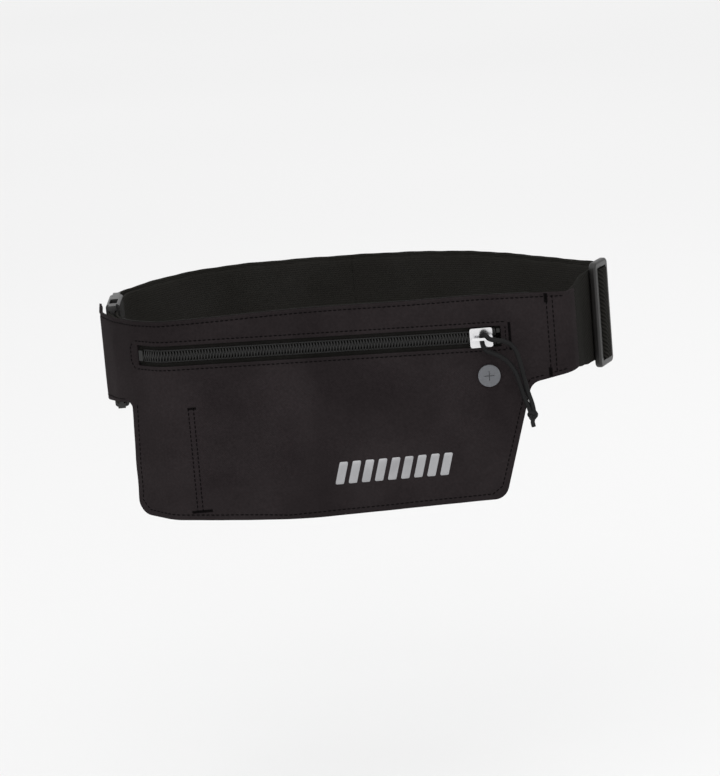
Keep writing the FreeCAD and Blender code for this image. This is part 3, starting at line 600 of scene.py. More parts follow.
class MeshDraft:
    """Vertices, faces and flat coordinates of one mesh, in millimetres."""

    def __init__(self) -> None:
        """Start with nothing."""
        self.points: list[np.ndarray] = []
        self.flat: list[np.ndarray] = []
        self.faces: list[tuple[int, ...]] = []
        self.count = 0

    def add(self, points: np.ndarray, flat: np.ndarray, faces: Sequence[Sequence[int]]) -> None:
        """Add vertices and the faces between them.

        Args:
            points: vertices, n by 3.
            flat: flat coordinates, n by 2.
            faces: vertex numbers that count from the first of these vertices.
        """
        self.points.append(np.asarray(points, float).reshape(-1, 3))
        self.flat.append(np.asarray(flat, float).reshape(-1, 2))
        self.faces.extend(tuple(number + self.count for number in face) for face in faces)
        self.count += len(self.points[-1])

    def build(self, name: str) -> bpy.types.Object:
        """Make the object.

        Args:
            name: its name.

        Returns:
            The object, linked to the scene.
        """
        mesh = bpy.data.meshes.new(name)
        points = np.concatenate(self.points) * MILLI
        flat = np.concatenate(self.flat)
        mesh.from_pydata(points.tolist(), [], self.faces)
        layer = mesh.uv_layers.new(name="flat")
        loops = np.empty(len(mesh.loops), dtype=np.int32)
        mesh.loops.foreach_get("vertex_index", loops)
        layer.data.foreach_set("uv", flat[loops].astype(np.float32).ravel())
        mesh.polygons.foreach_set("use_smooth", [len(face) < 5 for face in self.faces])
        mesh.update()
        made = bpy.data.objects.new(name, mesh)
        bpy.context.scene.collection.objects.link(made)
        return made


def smooth_noise(x: np.ndarray, z: np.ndarray, size: float, seed: int) -> np.ndarray:
    """Gentle random waves over a surface.

    Args:
        x: first coordinate.
        z: second coordinate.
        size: typical width of a wave, in millimetres.
        seed: which waves.

    Returns:
        Heights, about -1 to 1.
    """
    rng = np.random.default_rng(seed)
    total = np.zeros_like(np.asarray(x, float))
    for _ in range(9):
        angle, phase = rng.uniform(0, math.pi), rng.uniform(0, 2 * math.pi)
        pitch = size * rng.uniform(0.7, 2.2)
        total += np.sin((np.cos(angle) * x + np.sin(angle) * z) * 2 * math.pi / pitch + phase)
    return total / 4.5


def soften_edges(piece: bpy.types.Object, width: float, segments: int = 2, angle: float = 35.0) -> None:
    """Round the sharp edges of a piece.

    Args:
        piece: the object.
        width: width of the rounding in millimetres.
        segments: faces across the rounding.
        angle: edges that turn more than this are rounded, in degrees.
    """
    bevel = piece.modifiers.new("soft_edges", "BEVEL")
    bevel.width = width * MILLI
    bevel.segments = segments
    bevel.limit_method = "ANGLE"
    bevel.angle_limit = math.radians(angle)
    bevel.harden_normals = False


# ---------------------------------------------------------------- sizes shared by the sub-assemblies

@dataclass(frozen=True)
class BeltSizes:
    """The belt's driving sizes, in millimetres."""

    half_band: float = 25.0
    webbing: float = 1.5
    fabric: float = 1.3
    gap: float = 0.3
    seat: float = 0.1
    front_y: float = -84.0
    pouch_left: float = -123.6
    pouch_left_lean: float = 2.0
    pouch_bottom: float = -88.4
    pouch_low_x: float = -45.0
    left_rise: float = 7.4
    right_rise: float = 1.8
    hip_band_low: float = 20.5
    end_band_low: float = 19.3
    end_band_high: float = 22.7
    bottom_right: float = 71.5
    top_right: float = 89.5
    strap_corner: Point2 = (110.6, -81.85)
    strap_side: Point2 = (116.4, -68.5)
    strap_radius: float = 6.6
    zip_z: float = 2.0
    zip_left: float = -117.5
    zip_right: float = 75.0
    zip_tilt: float = 1.35
    tilt_x: float = 64.5
    zip_half: float = 5.5
    adjuster: Point2 = (133.0, -31.5)
    adjuster_turn: float = 66.0
    buckle_x: float = -131.3

    @property
    def strap_seat(self) -> float:
        """From the fabric's face to the middle of the webbing behind it."""
        return self.fabric + self.seat + self.webbing / 2

    def at_adjuster(self, along: float, outward: float) -> Point2:
        """A point beside the adjuster's centre.

        Args:
            along: along the webbing.
            outward: away from the body.

        Returns:
            The point in plan.
        """
        turn = math.radians(self.adjuster_turn)
        return (self.adjuster[0] + along * math.cos(turn) + outward * math.sin(turn),
                self.adjuster[1] + along * math.sin(turn) - outward * math.cos(turn))

    def front_plan(self) -> list[Point2]:
        """Plan of the fabric's face, from the adjuster's side to the buckle's side.

        Returns:
            The corners of the plan.
        """
        level = (0.0, self.strap_corner[1])
        corner = moved_corner(level, self.strap_corner, self.strap_side, -self.strap_seat)
        share = 0.585
        near = (self.strap_corner[0] + share * (self.strap_side[0] - self.strap_corner[0]),
                self.strap_corner[1] + share * (self.strap_side[1] - self.strap_corner[1]))
        end = moved_corner(self.strap_corner, near, self.strap_side, -self.strap_seat)
        return [end, corner, (-106.0, self.front_y), (-120.5, self.front_y + 12.0),
                (-131.8, self.front_y + 30.0), (-139.0, self.front_y + 50.0), (-140.6, self.front_y + 77.0)]


SIZES = BeltSizes()


# ---------------------------------------------------------------- pull cord

@dataclass
class PullCord:
    """The doubled cord of the zip pull with its knot.

    Attributes:
        bar_y: depth of the slider's bridge.
        knot_top: height at which both strands enter the knot.
        diameter: thickness of the cord.
    """

    bar_y: float = -90.3
    knot_top: float = -38.9
    diameter: float = 2.5
    finish: HardFinish = field(default=CORD_FINISH)

    def route(self) -> list[Point3]:
        """The points that the cord follows, from the knot round the bridge and back.

        Returns:
            Points in millimetres.
        """
        bar, top = self.bar_y, self.knot_top
        return [(89.2, bar - 0.5, top - 1.6), (88.9, bar - 0.5, top + 3.2), (86.7, bar - 0.4, -28.5),
                (85.2, bar - 0.3, -20.5), (83.8, bar - 0.4, -12.0), (81.6, bar - 0.8, -3.6),
                (76.0, bar - 1.9, 0.8), (68.6, bar - 2.42, 1.6), (66.6, bar - 2.42, 4.42),
                (64.8, bar + 2.42, 4.42), (64.5, bar + 2.35, 0.2), (65.6, bar + 1.5, -4.4),
                (70.6, bar + 0.3, -6.2), (76.6, bar - 0.3, -9.8), (81.0, bar - 0.5, -16.4),
                (83.0, bar - 0.5, -24.0), (84.6, bar - 0.5, -31.0), (86.6, bar - 0.5, top + 2.4),
                (87.6, bar - 0.5, top - 1.6)]

    def build(self) -> None:
        """Make the cord and its knot."""
        data = bpy.data.curves.new("pull_cord_line", "CURVE")
        data.dimensions = "3D"
        spline = data.splines.new("NURBS")
        route = self.route()
        spline.points.add(len(route) - 1)
        for point, place in zip(spline.points, route):
            point.co = (place[0] * MILLI, place[1] * MILLI, place[2] * MILLI, 1.0)
        spline.order_u = 3
        spline.use_endpoint_u = True
        spline.resolution_u = 8
        data.bevel_depth = self.diameter / 2 * MILLI
        data.bevel_resolution = 5
        line = bpy.data.objects.new("pull_cord_line", data)
        bpy.context.scene.collection.objects.link(line)
        self.finish.dress(line)
        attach(line, "puller")
        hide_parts("pull_cord")
        knot = self.knot()
        [c * MILLI for c in route[0]]
        log.info("pull cord: %d route points", len(route))

    def knot(self) -> bpy.types.Object:
        """An overhand knot with a cut tail.

        Returns:
            The knot.
        """
        middle = np.array([88.3, self.bar_y - 0.5, self.knot_top - 2.1])
        turns = np.linspace(0, 2 * math.pi, 97)[:-1]
        reach = 1.25 + 0.65 * np.cos(3 * turns)
        ring = np.stack([reach * np.cos(2 * turns + 0.5), 0.95 * np.sin(3 * turns),
                         reach * np.sin(2 * turns + 0.5)], 1)
        draft = MeshDraft()
        sweep_tube(draft, middle + ring, 1.12, closed=True)
        tail = middle + np.array([[0.0, 0.0, -1.6], [-0.3, -0.1, -3.9], [0.1, -0.2, -6.2]])
        sweep_tube(draft, tail, 1.2, closed=False)
        knot = draft.build("pull_knot_turns")
        self.finish.dress(knot)
        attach(knot, "puller")
        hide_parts("pull_knot")
        return knot


def sweep_tube(draft: MeshDraft, centre: np.ndarray, radius: float, closed: bool, sides: int = 10) -> None:
    """Add a round tube along a line of points.

    Args:
        draft: the mesh to add to.
        centre: points of the centre line.
        radius: the tube's radius.
        closed: whether the last point joins the first.
        sides: faces round the tube.
    """
    count = len(centre)
    ahead = np.roll(centre, -1, 0) - centre
    if not closed:
        ahead[-1] = ahead[-2]
    ahead /= np.linalg.norm(ahead, axis=1)[:, None]
    side = np.cross(ahead[0], [0.31, 0.92, 0.24])
    rings = []
    for index in range(count):
        side = side - ahead[index] * (side @ ahead[index])
        side /= np.linalg.norm(side)
        other = np.cross(ahead[index], side)
        angles = np.linspace(0, 2 * math.pi, sides, endpoint=False)
        spokes = np.cos(angles)[:, None] * side + np.sin(angles)[:, None] * other
        rings.append(centre[index] + radius * spokes)
    faces = []
    for index in range(count if closed else count - 1):
        following = (index + 1) % count
        for number in range(sides):
            after = (number + 1) % sides
            faces.append((index * sides + number, index * sides + after,
                          following * sides + after, following * sides + number))
    if not closed:
        faces.append(tuple(range(sides))[::-1])
        faces.append(tuple((count - 1) * sides + number for number in range(sides)))
    points = np.concatenate(rings)
    flat = np.stack([np.repeat(np.arange(count), sides) * 1.0, np.tile(np.arange(sides), count) * 0.6], 1)
    draft.add(points, flat, faces)


# ---------------------------------------------------------------- pouch

class PanelFace:
    """The face of the front fabric, as places along its plan and heights."""

    def __init__(self, sizes: BeltSizes) -> None:
        """Lay out the face.

        Args:
            sizes: the belt's sizes.
        """
        self.sizes = sizes
        radii = [0.0, sizes.strap_radius + sizes.strap_seat, 14.0, 30.0, 34.0, 38.0, 0.0]
        self.path = PlanPath(rounded(sizes.front_plan(), radii))
        self.table_s = np.linspace(0, self.path.length, 1600)
        self.table_x = np.array([self.path.at(s)[0][0] for s in self.table_s])
        low = sizes.pouch_bottom
        outline = [(-145.0, 25.0), (-145.0, -sizes.hip_band_low), (sizes.pouch_left, -sizes.hip_band_low),
                   (sizes.pouch_left - sizes.pouch_left_lean, low + sizes.left_rise),
                   (sizes.pouch_low_x, low), (sizes.bottom_right, low + sizes.right_rise),
                   (sizes.top_right, -25.0),
                   (120.0, -sizes.end_band_low), (120.0, sizes.end_band_high), (60.0, 25.0)]
        radii = [0.1, 0.1, 3.0, 7.0, 500.0, 8.0, 7.0, 0.1, 0.1, 90.0]
        pieces = rounded(outline, radii, closed=True)
        border = PlanPath(pieces)
        self.border = np.array([border.at(s)[0] for s in border.stations(0, border.length, 1.0, 4.0)])
        corners = [piece for piece in pieces if piece[2] is not None]
        self.low_left, self.low_right = corners[2][1], corners[4][0]
        bottom = [p for p in self.border if p[1] < self.low_left[1] + 1e-3 and self.low_left[0] - 0.01 <= p[0]
                  <= self.low_right[0] + 0.01]
        self.bottom = np.array(sorted(map(tuple, bottom)))
        right = [tuple(p) for p in self.border if p[0] > sizes.top_right - 1.0 and p[1] < -10.0]
        self.end_low = np.array(sorted(right))

    def zip_centre(self, x: np.ndarray) -> np.ndarray:
        """Height of the zip's centre line.

        Args:
            x: X in millimetres.

        Returns:
            Heights.
        """
        sizes = self.sizes
        return sizes.zip_z - (np.asarray(x, float) - sizes.tilt_x) * math.tan(math.radians(sizes.zip_tilt))

    def top_edge(self, x: np.ndarray) -> np.ndarray:
        """Height of the band's upper edge.

        Args:
            x: X in millimetres.

        Returns:
            Heights.
        """
        share = np.clip((np.asarray(x, float) - 60.0) / 60.0, 0.0, 1.0)
        bow = 1.0 * np.exp(-((np.asarray(x, float) + 28.0) / 40.0) ** 2)
        return 25.0 - (25.0 - self.sizes.end_band_high) * share ** 1.2 + bow - 0.5

    def low_edge(self, x: np.ndarray, joins: Point2) -> np.ndarray:
        """Height at which the band ends, or at which the pouch hangs from it.

        Args:
            x: X in millimetres.
            joins: X of the pouch's left and right edge at the band.

        Returns:
            Heights.
        """
        x = np.asarray(x, float)
        share = (x - joins[0]) / (joins[1] - joins[0])
        hung = -self.sizes.hip_band_low + share * (self.sizes.hip_band_low - 25.0)
        end = np.interp(x, self.end_low[:, 0], self.end_low[:, 1])
        past = joins[0] - x
        hip = -self.sizes.hip_band_low - 1.8 * np.clip(past / 7.0, 0.0, 1.0) ** 0.6 - 2.4 * np.clip(
            (past - 6.0) / 8.0, 0.0, 1.0)
        return np.where(x < joins[0], hip, np.where(x > joins[1], end, hung))

    def along(self, x: float | np.ndarray) -> float | np.ndarray:
        """Place along the plan at a given X, left of the right corner.

        Args:
            x: X in millimetres.

        Returns:
            Distance along the plan.
        """
        first = int(np.argmax(self.table_x))
        return np.interp(-np.asarray(x), -self.table_x[first:], self.table_s[first:])

    def x_at(self, along: np.ndarray) -> np.ndarray:
        """X at places along the plan.

        Args:
            along: distances along the plan.

        Returns:
            X in millimetres.
        """
        return np.interp(along, self.table_s, self.table_x)

    def edges(self, z: float) -> Point2:
        """Left and right edge of the pouch at a height below the band.

        Args:
            z: the height.

        Returns:
            X of the left edge and of the right edge.
        """
        found = []
        loop = np.vstack([self.border, self.border[:1]])
        for first, second in zip(loop[:-1], loop[1:]):
            if (first[1] - z) * (second[1] - z) < 0:
                share = (z - first[1]) / (second[1] - first[1])
                found.append(float(first[0] + share * (second[0] - first[0])))
        inner = [x for x in found if -140 < x < 110]
        return min(inner), max(inner)

    def relief(self, x: np.ndarray, z: np.ndarray) -> np.ndarray:
        """How far the fabric stands out from its plain face.

        Args:
            x: X of each place.
            z: height of each place.

        Returns:
            Distances outward in millimetres.
        """
        sizes = self.sizes
        low = 0.9 * smooth_noise(x, z * 0.6, 62.0, 4) + 0.35 * smooth_noise(x, z, 23.0, 9)
        hang = np.clip((-18.0 - z) / 50.0, 0.0, 1.0)
        swell = (0.25 + 0.75 * hang) * low
        near_port = np.exp(-(((x - 67.3) ** 2 + (z + 19.0) ** 2) / 12.0 ** 2) ** 2)
        off = np.abs(z - self.zip_centre(x))
        near_zip = np.exp(-(off / 12.0) ** 4)
        swell = swell * (1 - near_port) * (1 - near_zip)
        depth = self.top_edge(x) - z
        pucker = 0.20 * smooth_noise(x, z * 0.3, 5.0, 21) * np.exp(-((depth - 2.0) / 4.0) ** 2)
        hem = -0.30 * np.exp(-((depth - 2.4) / 0.8) ** 2) + 0.20 * np.exp(-((depth - 0.9) / 0.8) ** 2)
        inside = (x > sizes.zip_left - 2) & (x < sizes.zip_right + 2)
        lip = np.where(inside, 0.35 * np.exp(-((off - sizes.zip_half - 0.6) / 1.1) ** 2), 0.0)
        row = np.where(inside, -0.28 * np.exp(-((off - 7.6) / 0.8) ** 2), 0.0)
        return swell + pucker + hem + lip + row

    def place(self, along: np.ndarray, z: np.ndarray, outward: np.ndarray | float) -> np.ndarray:
        """Points in space.

        Args:
            along: places along the plan.
            z: heights.
            outward: distance out from the face.

        Returns:
            Points, one row each.
        """
        along, z = np.ravel(along), np.ravel(z)
        out = np.broadcast_to(np.ravel(outward), along.shape)
        unique, back = np.unique(np.round(along, 5), return_inverse=True)
        found = [self.path.at(float(s)) for s in unique]
        plan = np.array([f[0] for f in found])[back]
        left = np.array([f[1] for f in found])[back]
        flat = plan + left * out[:, None]
        return np.column_stack([flat, z])


@dataclass
class Pouch:
    """Front fabric with the zip opening, the padded back panel and the tonal trim.

    Attributes:
        sizes: the belt's sizes.
        step: widest distance between columns of the fabric's mesh.
        pocket_depth: how far the back fabric stands off.
        bartacks: left edge, lower edge, width and height of each bartack.
    """

    sizes: BeltSizes = SIZES
    step: float = 1.6
    pocket_depth: float = 7.0
    bartacks: tuple[tuple[float, float, float, float], ...] = (
        (-96.2, -80.2, 11.0, 1.7), (78.9, -6.2, 1.6, 15.0), (98.9, 17.5, 2.2, 5.0),
        (98.9, -22.5, 2.2, 5.0), (-93.6, -24.0, 4.6, 1.5))

    def __post_init__(self) -> None:
        """Lay out the face of the panel."""
        self.face = PanelFace(self.sizes)

    def hanging_rows(self) -> tuple[np.ndarray, np.ndarray]:
        """Heights of the rows below the band, along the left and along the right edge of the pouch.

        Returns:
            Heights on the left and on the right, from the bottom up.
        """
        turn = 1 - np.cos(np.linspace(0, math.pi / 2, 9))
        sides = []
        just_below = 0.001
        left = (self.face.low_left[1], 7.6, -self.sizes.hip_band_low - just_below, 3.2)
        right = (self.face.low_right[1], 8.6, -self.sizes.half_band - just_below, 7.0)
        for bottom, corner, top, fillet in (left, right):
            lower = bottom + corner * turn
            upper = top - fillet * turn[::-1]
            sides.append(np.concatenate([lower[:-1], np.linspace(lower[-1], upper[0], 26), upper[1:]]))
        return sides[0], sides[1]

    def band_rows(self, x: np.ndarray, joins: Point2) -> np.ndarray:
        """Heights of the rows of the band at each column.

        Args:
            x: X of each column.
            joins: X of the pouch's left and right edge at the band.

        Returns:
            Heights, one row of the array for each row of the mesh.
        """
        spans = [np.linspace(0, 1, 12)]
        for first, count in ((0.25, 4), (0.2, 5), (0.25, 4), (0.125, 8), (0.1, 10)):
            spans.append(len(spans) + np.linspace(first, 1, count))
        shares = np.concatenate(spans)
        centre, half = self.face.zip_centre(x), self.sizes.zip_half
        top = self.face.top_edge(x)
        knots = np.stack([self.face.low_edge(x, joins), centre - half - 2.4, centre - half, centre + half,
                          centre + half + 2.4, top - 4.2, top])
        whole = np.clip(shares.astype(int), 0, 5)
        part = (shares - whole)[:, None]
        return knots[whole] * (1 - part) + knots[whole + 1] * part

    def grid(self, draft: MeshDraft, outward: Callable[[np.ndarray, np.ndarray], np.ndarray],
             whole_band: bool, window: bool, facing: bool) -> None:
        """Add a mesh of the panel's outline.

        Args:
            draft: the mesh to add to.
            outward: distance from the face for X and height.
            whole_band: whether the band goes on beyond the pouch.
            window: whether the zip opening is left out.
            facing: whether the mesh faces outward.
        """
        sizes, face = self.sizes, self.face
        left_z, right_z = self.hanging_rows()
        joins = (face.edges(float(left_z[-1]))[0], face.edges(float(right_z[-1]))[1])
        first, last = float(face.along(joins[1])), float(face.along(joins[0]))
        edges = sorted(float(face.along(x)) for x in (sizes.zip_right, sizes.zip_left))
        middle = np.concatenate([
            np.linspace(first, edges[0], max(2, int((edges[0] - first) / self.step)))[:-1],
            np.linspace(edges[0], edges[1], int((edges[1] - edges[0]) / self.step))[:-1],
            np.linspace(edges[1], last, max(3, int((last - edges[1]) / self.step)))])
        share = (middle - first) / (last - first)
        columns, start = middle, 0
        if whole_band:
            right = np.linspace(0, first, int(first / 1.2))[:-1]
            left = np.linspace(last, face.path.length, int((face.path.length - last) / 1.5))[1:]
            columns, start = np.concatenate([right, middle, left]), len(right)
        grid_s, grid_z = [], []
        low_s = [float(face.along(face.low_right[0])), float(face.along(face.low_left[0]))]
        bottom_x = face.x_at(low_s[0] + (low_s[1] - low_s[0]) * share)
        chord = right_z[0] + (left_z[0] - right_z[0]) * share
        bow = np.interp(bottom_x, face.bottom[:, 0], face.bottom[:, 1]) - chord
        for low, high in zip(left_z[:-1], right_z[:-1]):
            ends = (low_s[1], low_s[0])
            if grid_s:
                left_x = face.edges(float(low) + 1e-4)[0]
                right_x = face.edges(float(high) + 1e-4)[1]
                ends = (float(face.along(left_x)), float(face.along(right_x)))
            rise = (low - left_z[0]) / (left_z[-1] - left_z[0])
            row_s, row_z = np.full(len(columns), np.nan), np.full(len(columns), np.nan)
            row_s[start:start + len(share)] = ends[1] + (ends[0] - ends[1]) * share
            row_z[start:start + len(share)] = high + (low - high) * share + bow * (1 - rise) ** 2
            grid_s.append(row_s)
            grid_z.append(row_z)
        for row in self.band_rows(face.x_at(columns), joins):
            grid_s.append(columns)
            grid_z.append(row)
        s_all, z_all = np.array(grid_s), np.array(grid_z)
        count = len(columns)
        numbers = np.arange(s_all.size).reshape(s_all.shape)
        faces = []
        for row in range(len(s_all) - 1):
            for column in range(count - 1):
                block = (slice(row, row + 2), slice(column, column + 2))
                if np.isnan(s_all[block]).any():
                    continue
                s_mid, z_mid = s_all[block].mean(), z_all[block].mean()
                if window and edges[0] < s_mid < edges[1]:
                    if abs(z_mid - float(face.zip_centre(face.x_at(s_mid)))) < sizes.zip_half:
                        continue
                quad = [numbers[row, column], numbers[row, column + 1],
                        numbers[row + 1, column + 1], numbers[row + 1, column]]
                faces.append(quad[::-1] if facing else quad)
        s_flat, z_flat = s_all.ravel(), z_all.ravel()
        used = np.unique(np.array(faces))
        renumber = np.full(s_flat.size, -1)
        renumber[used] = np.arange(len(used))
        s_used, z_used = s_flat[used], z_flat[used]
        points = face.place(s_used, z_used, outward(face.x_at(s_used), z_used))
        draft.add(points, np.column_stack([s_used, z_used]), renumber[np.array(faces)].tolist())

    def edge_distance(self, x: np.ndarray, z: np.ndarray) -> np.ndarray:
        """Distance from the pouch's edge.

        Args:
            x: X of each place.
            z: height of each place.

        Returns:
            Distances in millimetres.
        """
        sizes, face = self.sizes, self.face
        low = np.interp(x, face.bottom[:, 0], face.bottom[:, 1])
        lean = (sizes.top_right - sizes.bottom_right) / (25.0 - sizes.pouch_bottom - 50.0)
        right = sizes.top_right + np.clip(z + 25.0, None, 0.0) * lean - x
        left = x - sizes.pouch_left + np.clip((-z - 20.0) / 61.0, 0, 1) * sizes.pouch_left_lean
        return np.minimum.reduce([left, right, z - low, 25.0 - z])

    def back_offset(self, x: np.ndarray, z: np.ndarray) -> np.ndarray:
        """How far the back fabric lies behind the panel's face.

        Args:
            x: X of each place.
            z: height of each place.

        Returns:
            Distances outward in millimetres, below zero.
        """
        seam_width, roundness = 2.5, 7.0
        depth = 1 - np.exp(-np.clip(self.edge_distance(x, z) - seam_width, 0, None) / roundness)
        wrinkle = 0.5 * smooth_noise(x, z, 34.0, 15)
        return -(self.sizes.fabric + 0.15) - depth * (self.pocket_depth + wrinkle)

    def build(self) -> None:
        """Make the fabric pieces and their trim."""
        front = MeshDraft()
        self.grid(front, self.face.relief, whole_band=True, window=True, facing=True)
        shell = front.build("front_fabric")
        thick = shell.modifiers.new("thickness", "SOLIDIFY")
        thick.thickness = self.sizes.fabric * MILLI
        thick.offset = -1.0
        thick.use_even_offset = False
        soften_edges(shell, 0.42, 3, 50.0)
        SHELL_FINISH.dress(shell)
        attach(shell, "pouch")
        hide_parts("pouch_front_shell")

        back = MeshDraft()
        self.grid(back, self.back_offset, whole_band=False, window=False, facing=False)
        lining = back.build("back_fabric")
        thick = lining.modifiers.new("thickness", "SOLIDIFY")
        thick.thickness = 1.0 * MILLI
        thick.offset = 1.0
        soften_edges(lining, 0.35, 2, 50.0)
        LINING_FINISH.dress(lining)
        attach(lining, "pouch")
        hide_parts("pouch_back_panel", "pocket_divider")
        self.stitching()
        self.reflective()
        log.info("pouch: front %d faces, back %d faces", len(front.faces), len(back.faces))

    def stitch_rows(self) -> list[tuple[list[Point2], float]]:
        """Lines of stitching on the face as X and height, each with its stitch length.

        Returns:
            Polylines and the distance from one stitch to the next.
        """
        sizes, face = self.sizes, self.face
        across = np.linspace(109.5, -139.0, 60)
        hem = [(float(x), float(face.top_edge(x)) - 2.4) for x in across]
        along_zip = np.linspace(77.5, -119.5, 30)
        middle = [(float(x), float(face.zip_centre(x))) for x in along_zip]
        over = [(x, z + 7.6) for x, z in middle]
        under = [(x, z - 7.6) for x, z in middle]
        far = middle[-1][1]
        rows: list[tuple[list[Point2], float]] = [
            (hem, 2.6),
            ([(109.0, -18.8), (97.0, -21.2)], 2.6),
            ([(-127.5, -19.6), (-133.0, -20.4), (-139.2, -21.6)], 2.6),
            (over, 2.5),
            (under, 2.5),
            ([under[0], over[0]], 2.2),
            ([under[-1], (-121.4, far - 4), (-121.4, far + 4), over[-1]], 2.2),
            ([(100.2, -20.4), (100.2, 23.4)], 2.6),
            ([(103.4, -20.0), (103.4, 23.4)], 2.6),
            ([(-93.2, -22.5), (-93.2, -80.5)], 2.4),
            ([(-90.4, -22.5), (-90.4, -80.5)], 2.4),
        ]
        low = sizes.pouch_bottom
        left_low, right_low = low + sizes.left_rise, low + sizes.right_rise
        inner = [(sizes.pouch_left + 3, -21.0), (sizes.pouch_left - sizes.pouch_left_lean + 3, left_low + 7),
                 (sizes.pouch_left + 5, left_low + 2.5), (sizes.pouch_low_x, low + 3),
                 (sizes.bottom_right - 7, right_low + 3), (sizes.bottom_right - 1.5, right_low + 7),
                 (sizes.top_right - 3.4, -27.0), (sizes.top_right - 0.5, -22.6), (97.0, -21.2)]
        rows.append((inner, 2.6))
        return rows

    def stitching(self) -> None:
        """Make the rows of stitches and the bartacks."""
        draft = MeshDraft()
        rng = np.random.default_rng(3)
        for line, pitch in self.stitch_rows():
            corners = np.array([(float(self.face.along(x)) if x < 112 else 0.0, z) for x, z in line])
            runs = np.diff(corners, axis=0)
            starts = np.concatenate([[0], np.cumsum(np.linalg.norm(runs, axis=1))])
            for number in range(int(starts[-1] / pitch)):
                middle = (number + 0.5) * pitch
                index = int(np.clip(np.searchsorted(starts, middle) - 1, 0, len(runs) - 1))
                heading = runs[index] / np.linalg.norm(runs[index])
                centre = corners[index] + heading * (middle - starts[index])
                tilt = rng.normal(0, 0.06)
                heading = np.array([heading[0] - tilt * heading[1], heading[1] + tilt * heading[0]])
                self.stitch(draft, centre, heading, pitch * 0.36, 0.27)
        for left, low, width, height in self.bartacks:
            upright = height > width
            count = int((height if upright else width) / 0.55)
            for number in range(count):
                share = (number + 0.5) / count
                x = left + (width / 2 if upright else width * share)
                z = low + (height * share if upright else height / 2)
                heading = np.array([1.0, 0.12]) if upright else np.array([0.12, 1.0])
                centre = np.array([float(self.face.along(x)), z])
                self.stitch(draft, centre, heading, min(width, height) / 2, 0.24)
        threads = draft.build("stitches")
        # The near-black thread colour also paints the shade in the stitch holes and puckers.
        THREAD_AND_HOLE_SHADE_FINISH.dress(threads)
        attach(threads, "pouch")
        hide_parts("bartacks")

    def stitch(self, draft: MeshDraft, centre: np.ndarray, heading: np.ndarray, half: float,
               radius: float) -> None:
        """Add one stitch that lies on the fabric.

        Args:
            draft: the mesh to add to.
            centre: place along the plan and height.
            heading: direction on the face.
            half: half of its length.
            radius: thickness of the thread.
        """
        aside = np.array([-heading[1], heading[0]])
        rings = ((-1.0, 0.25), (-0.7, 0.85), (0.0, 1.0), (0.7, 0.85), (1.0, 0.25))
        around = np.linspace(0, 2 * math.pi, 6, endpoint=False)
        s, z, out = [], [], []
        for along, size in rings:
            for angle in around:
                spot = centre + heading * half * along + aside * radius * size * math.cos(angle)
                s.append(spot[0])
                z.append(spot[1])
                out.append(radius * size * math.sin(angle) - 0.10 * abs(along))
        s_all, z_all = np.array(s), np.array(z)
        base = self.face.relief(self.face.x_at(s_all), z_all)
        points = self.face.place(s_all, z_all, base + np.array(out) + 0.10)
        faces = [(r * 6 + k, r * 6 + (k + 1) % 6, (r + 1) * 6 + (k + 1) % 6, (r + 1) * 6 + k)
                 for r in range(4) for k in range(6)]
        faces += [tuple(range(6))[::-1], tuple(24 + k for k in range(6))]
        draft.add(points, np.column_stack([s_all, z_all]), faces)

    def reflective(self) -> None:
        """Make the row of reflective segments on the lower right of the panel."""
        draft = MeshDraft()
        for number in range(9):
            left = -19.0 + number * 7.0
            outline = rounded([(left, -71.0), (left + 4.6, -71.0), (left + 8.0, -59.0), (left + 3.4, -59.0)],
                              [0.8] * 4, closed=True)
            border = PlanPath(outline)
            ring = np.array([border.at(s)[0] for s in border.stations(0, border.length - 0.01, 2.0, 30.0)])
            middle = ring.mean(0)
            loops = [middle + (ring - middle) * share for share in (1.0, 0.98, 0.66, 0.33)]
            rise = (0.0, 0.16, 0.18, 0.18)
            points, flat, faces = [], [], []
            count = len(ring)
            for loop, height in zip(loops, rise):
                s = np.asarray(self.face.along(loop[:, 0]))
                outward = self.face.relief(loop[:, 0], loop[:, 1]) + height
                points.append(self.face.place(s, loop[:, 1], outward))
                flat.append(loop)
            for level in range(3):
                for k in range(count):
                    after = (k + 1) % count
                    faces.append((level * count + k, level * count + after,
                                  (level + 1) * count + after, (level + 1) * count + k))
            faces.append(tuple(3 * count + k for k in range(count)))
            draft.add(np.concatenate(points), np.concatenate(flat), faces)
        film = draft.build("reflective_film")
        FILM_FINISH.dress(film)
        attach(film, "pouch")
        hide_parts("reflective_segments")


# ---------------------------------------------------------------- zip

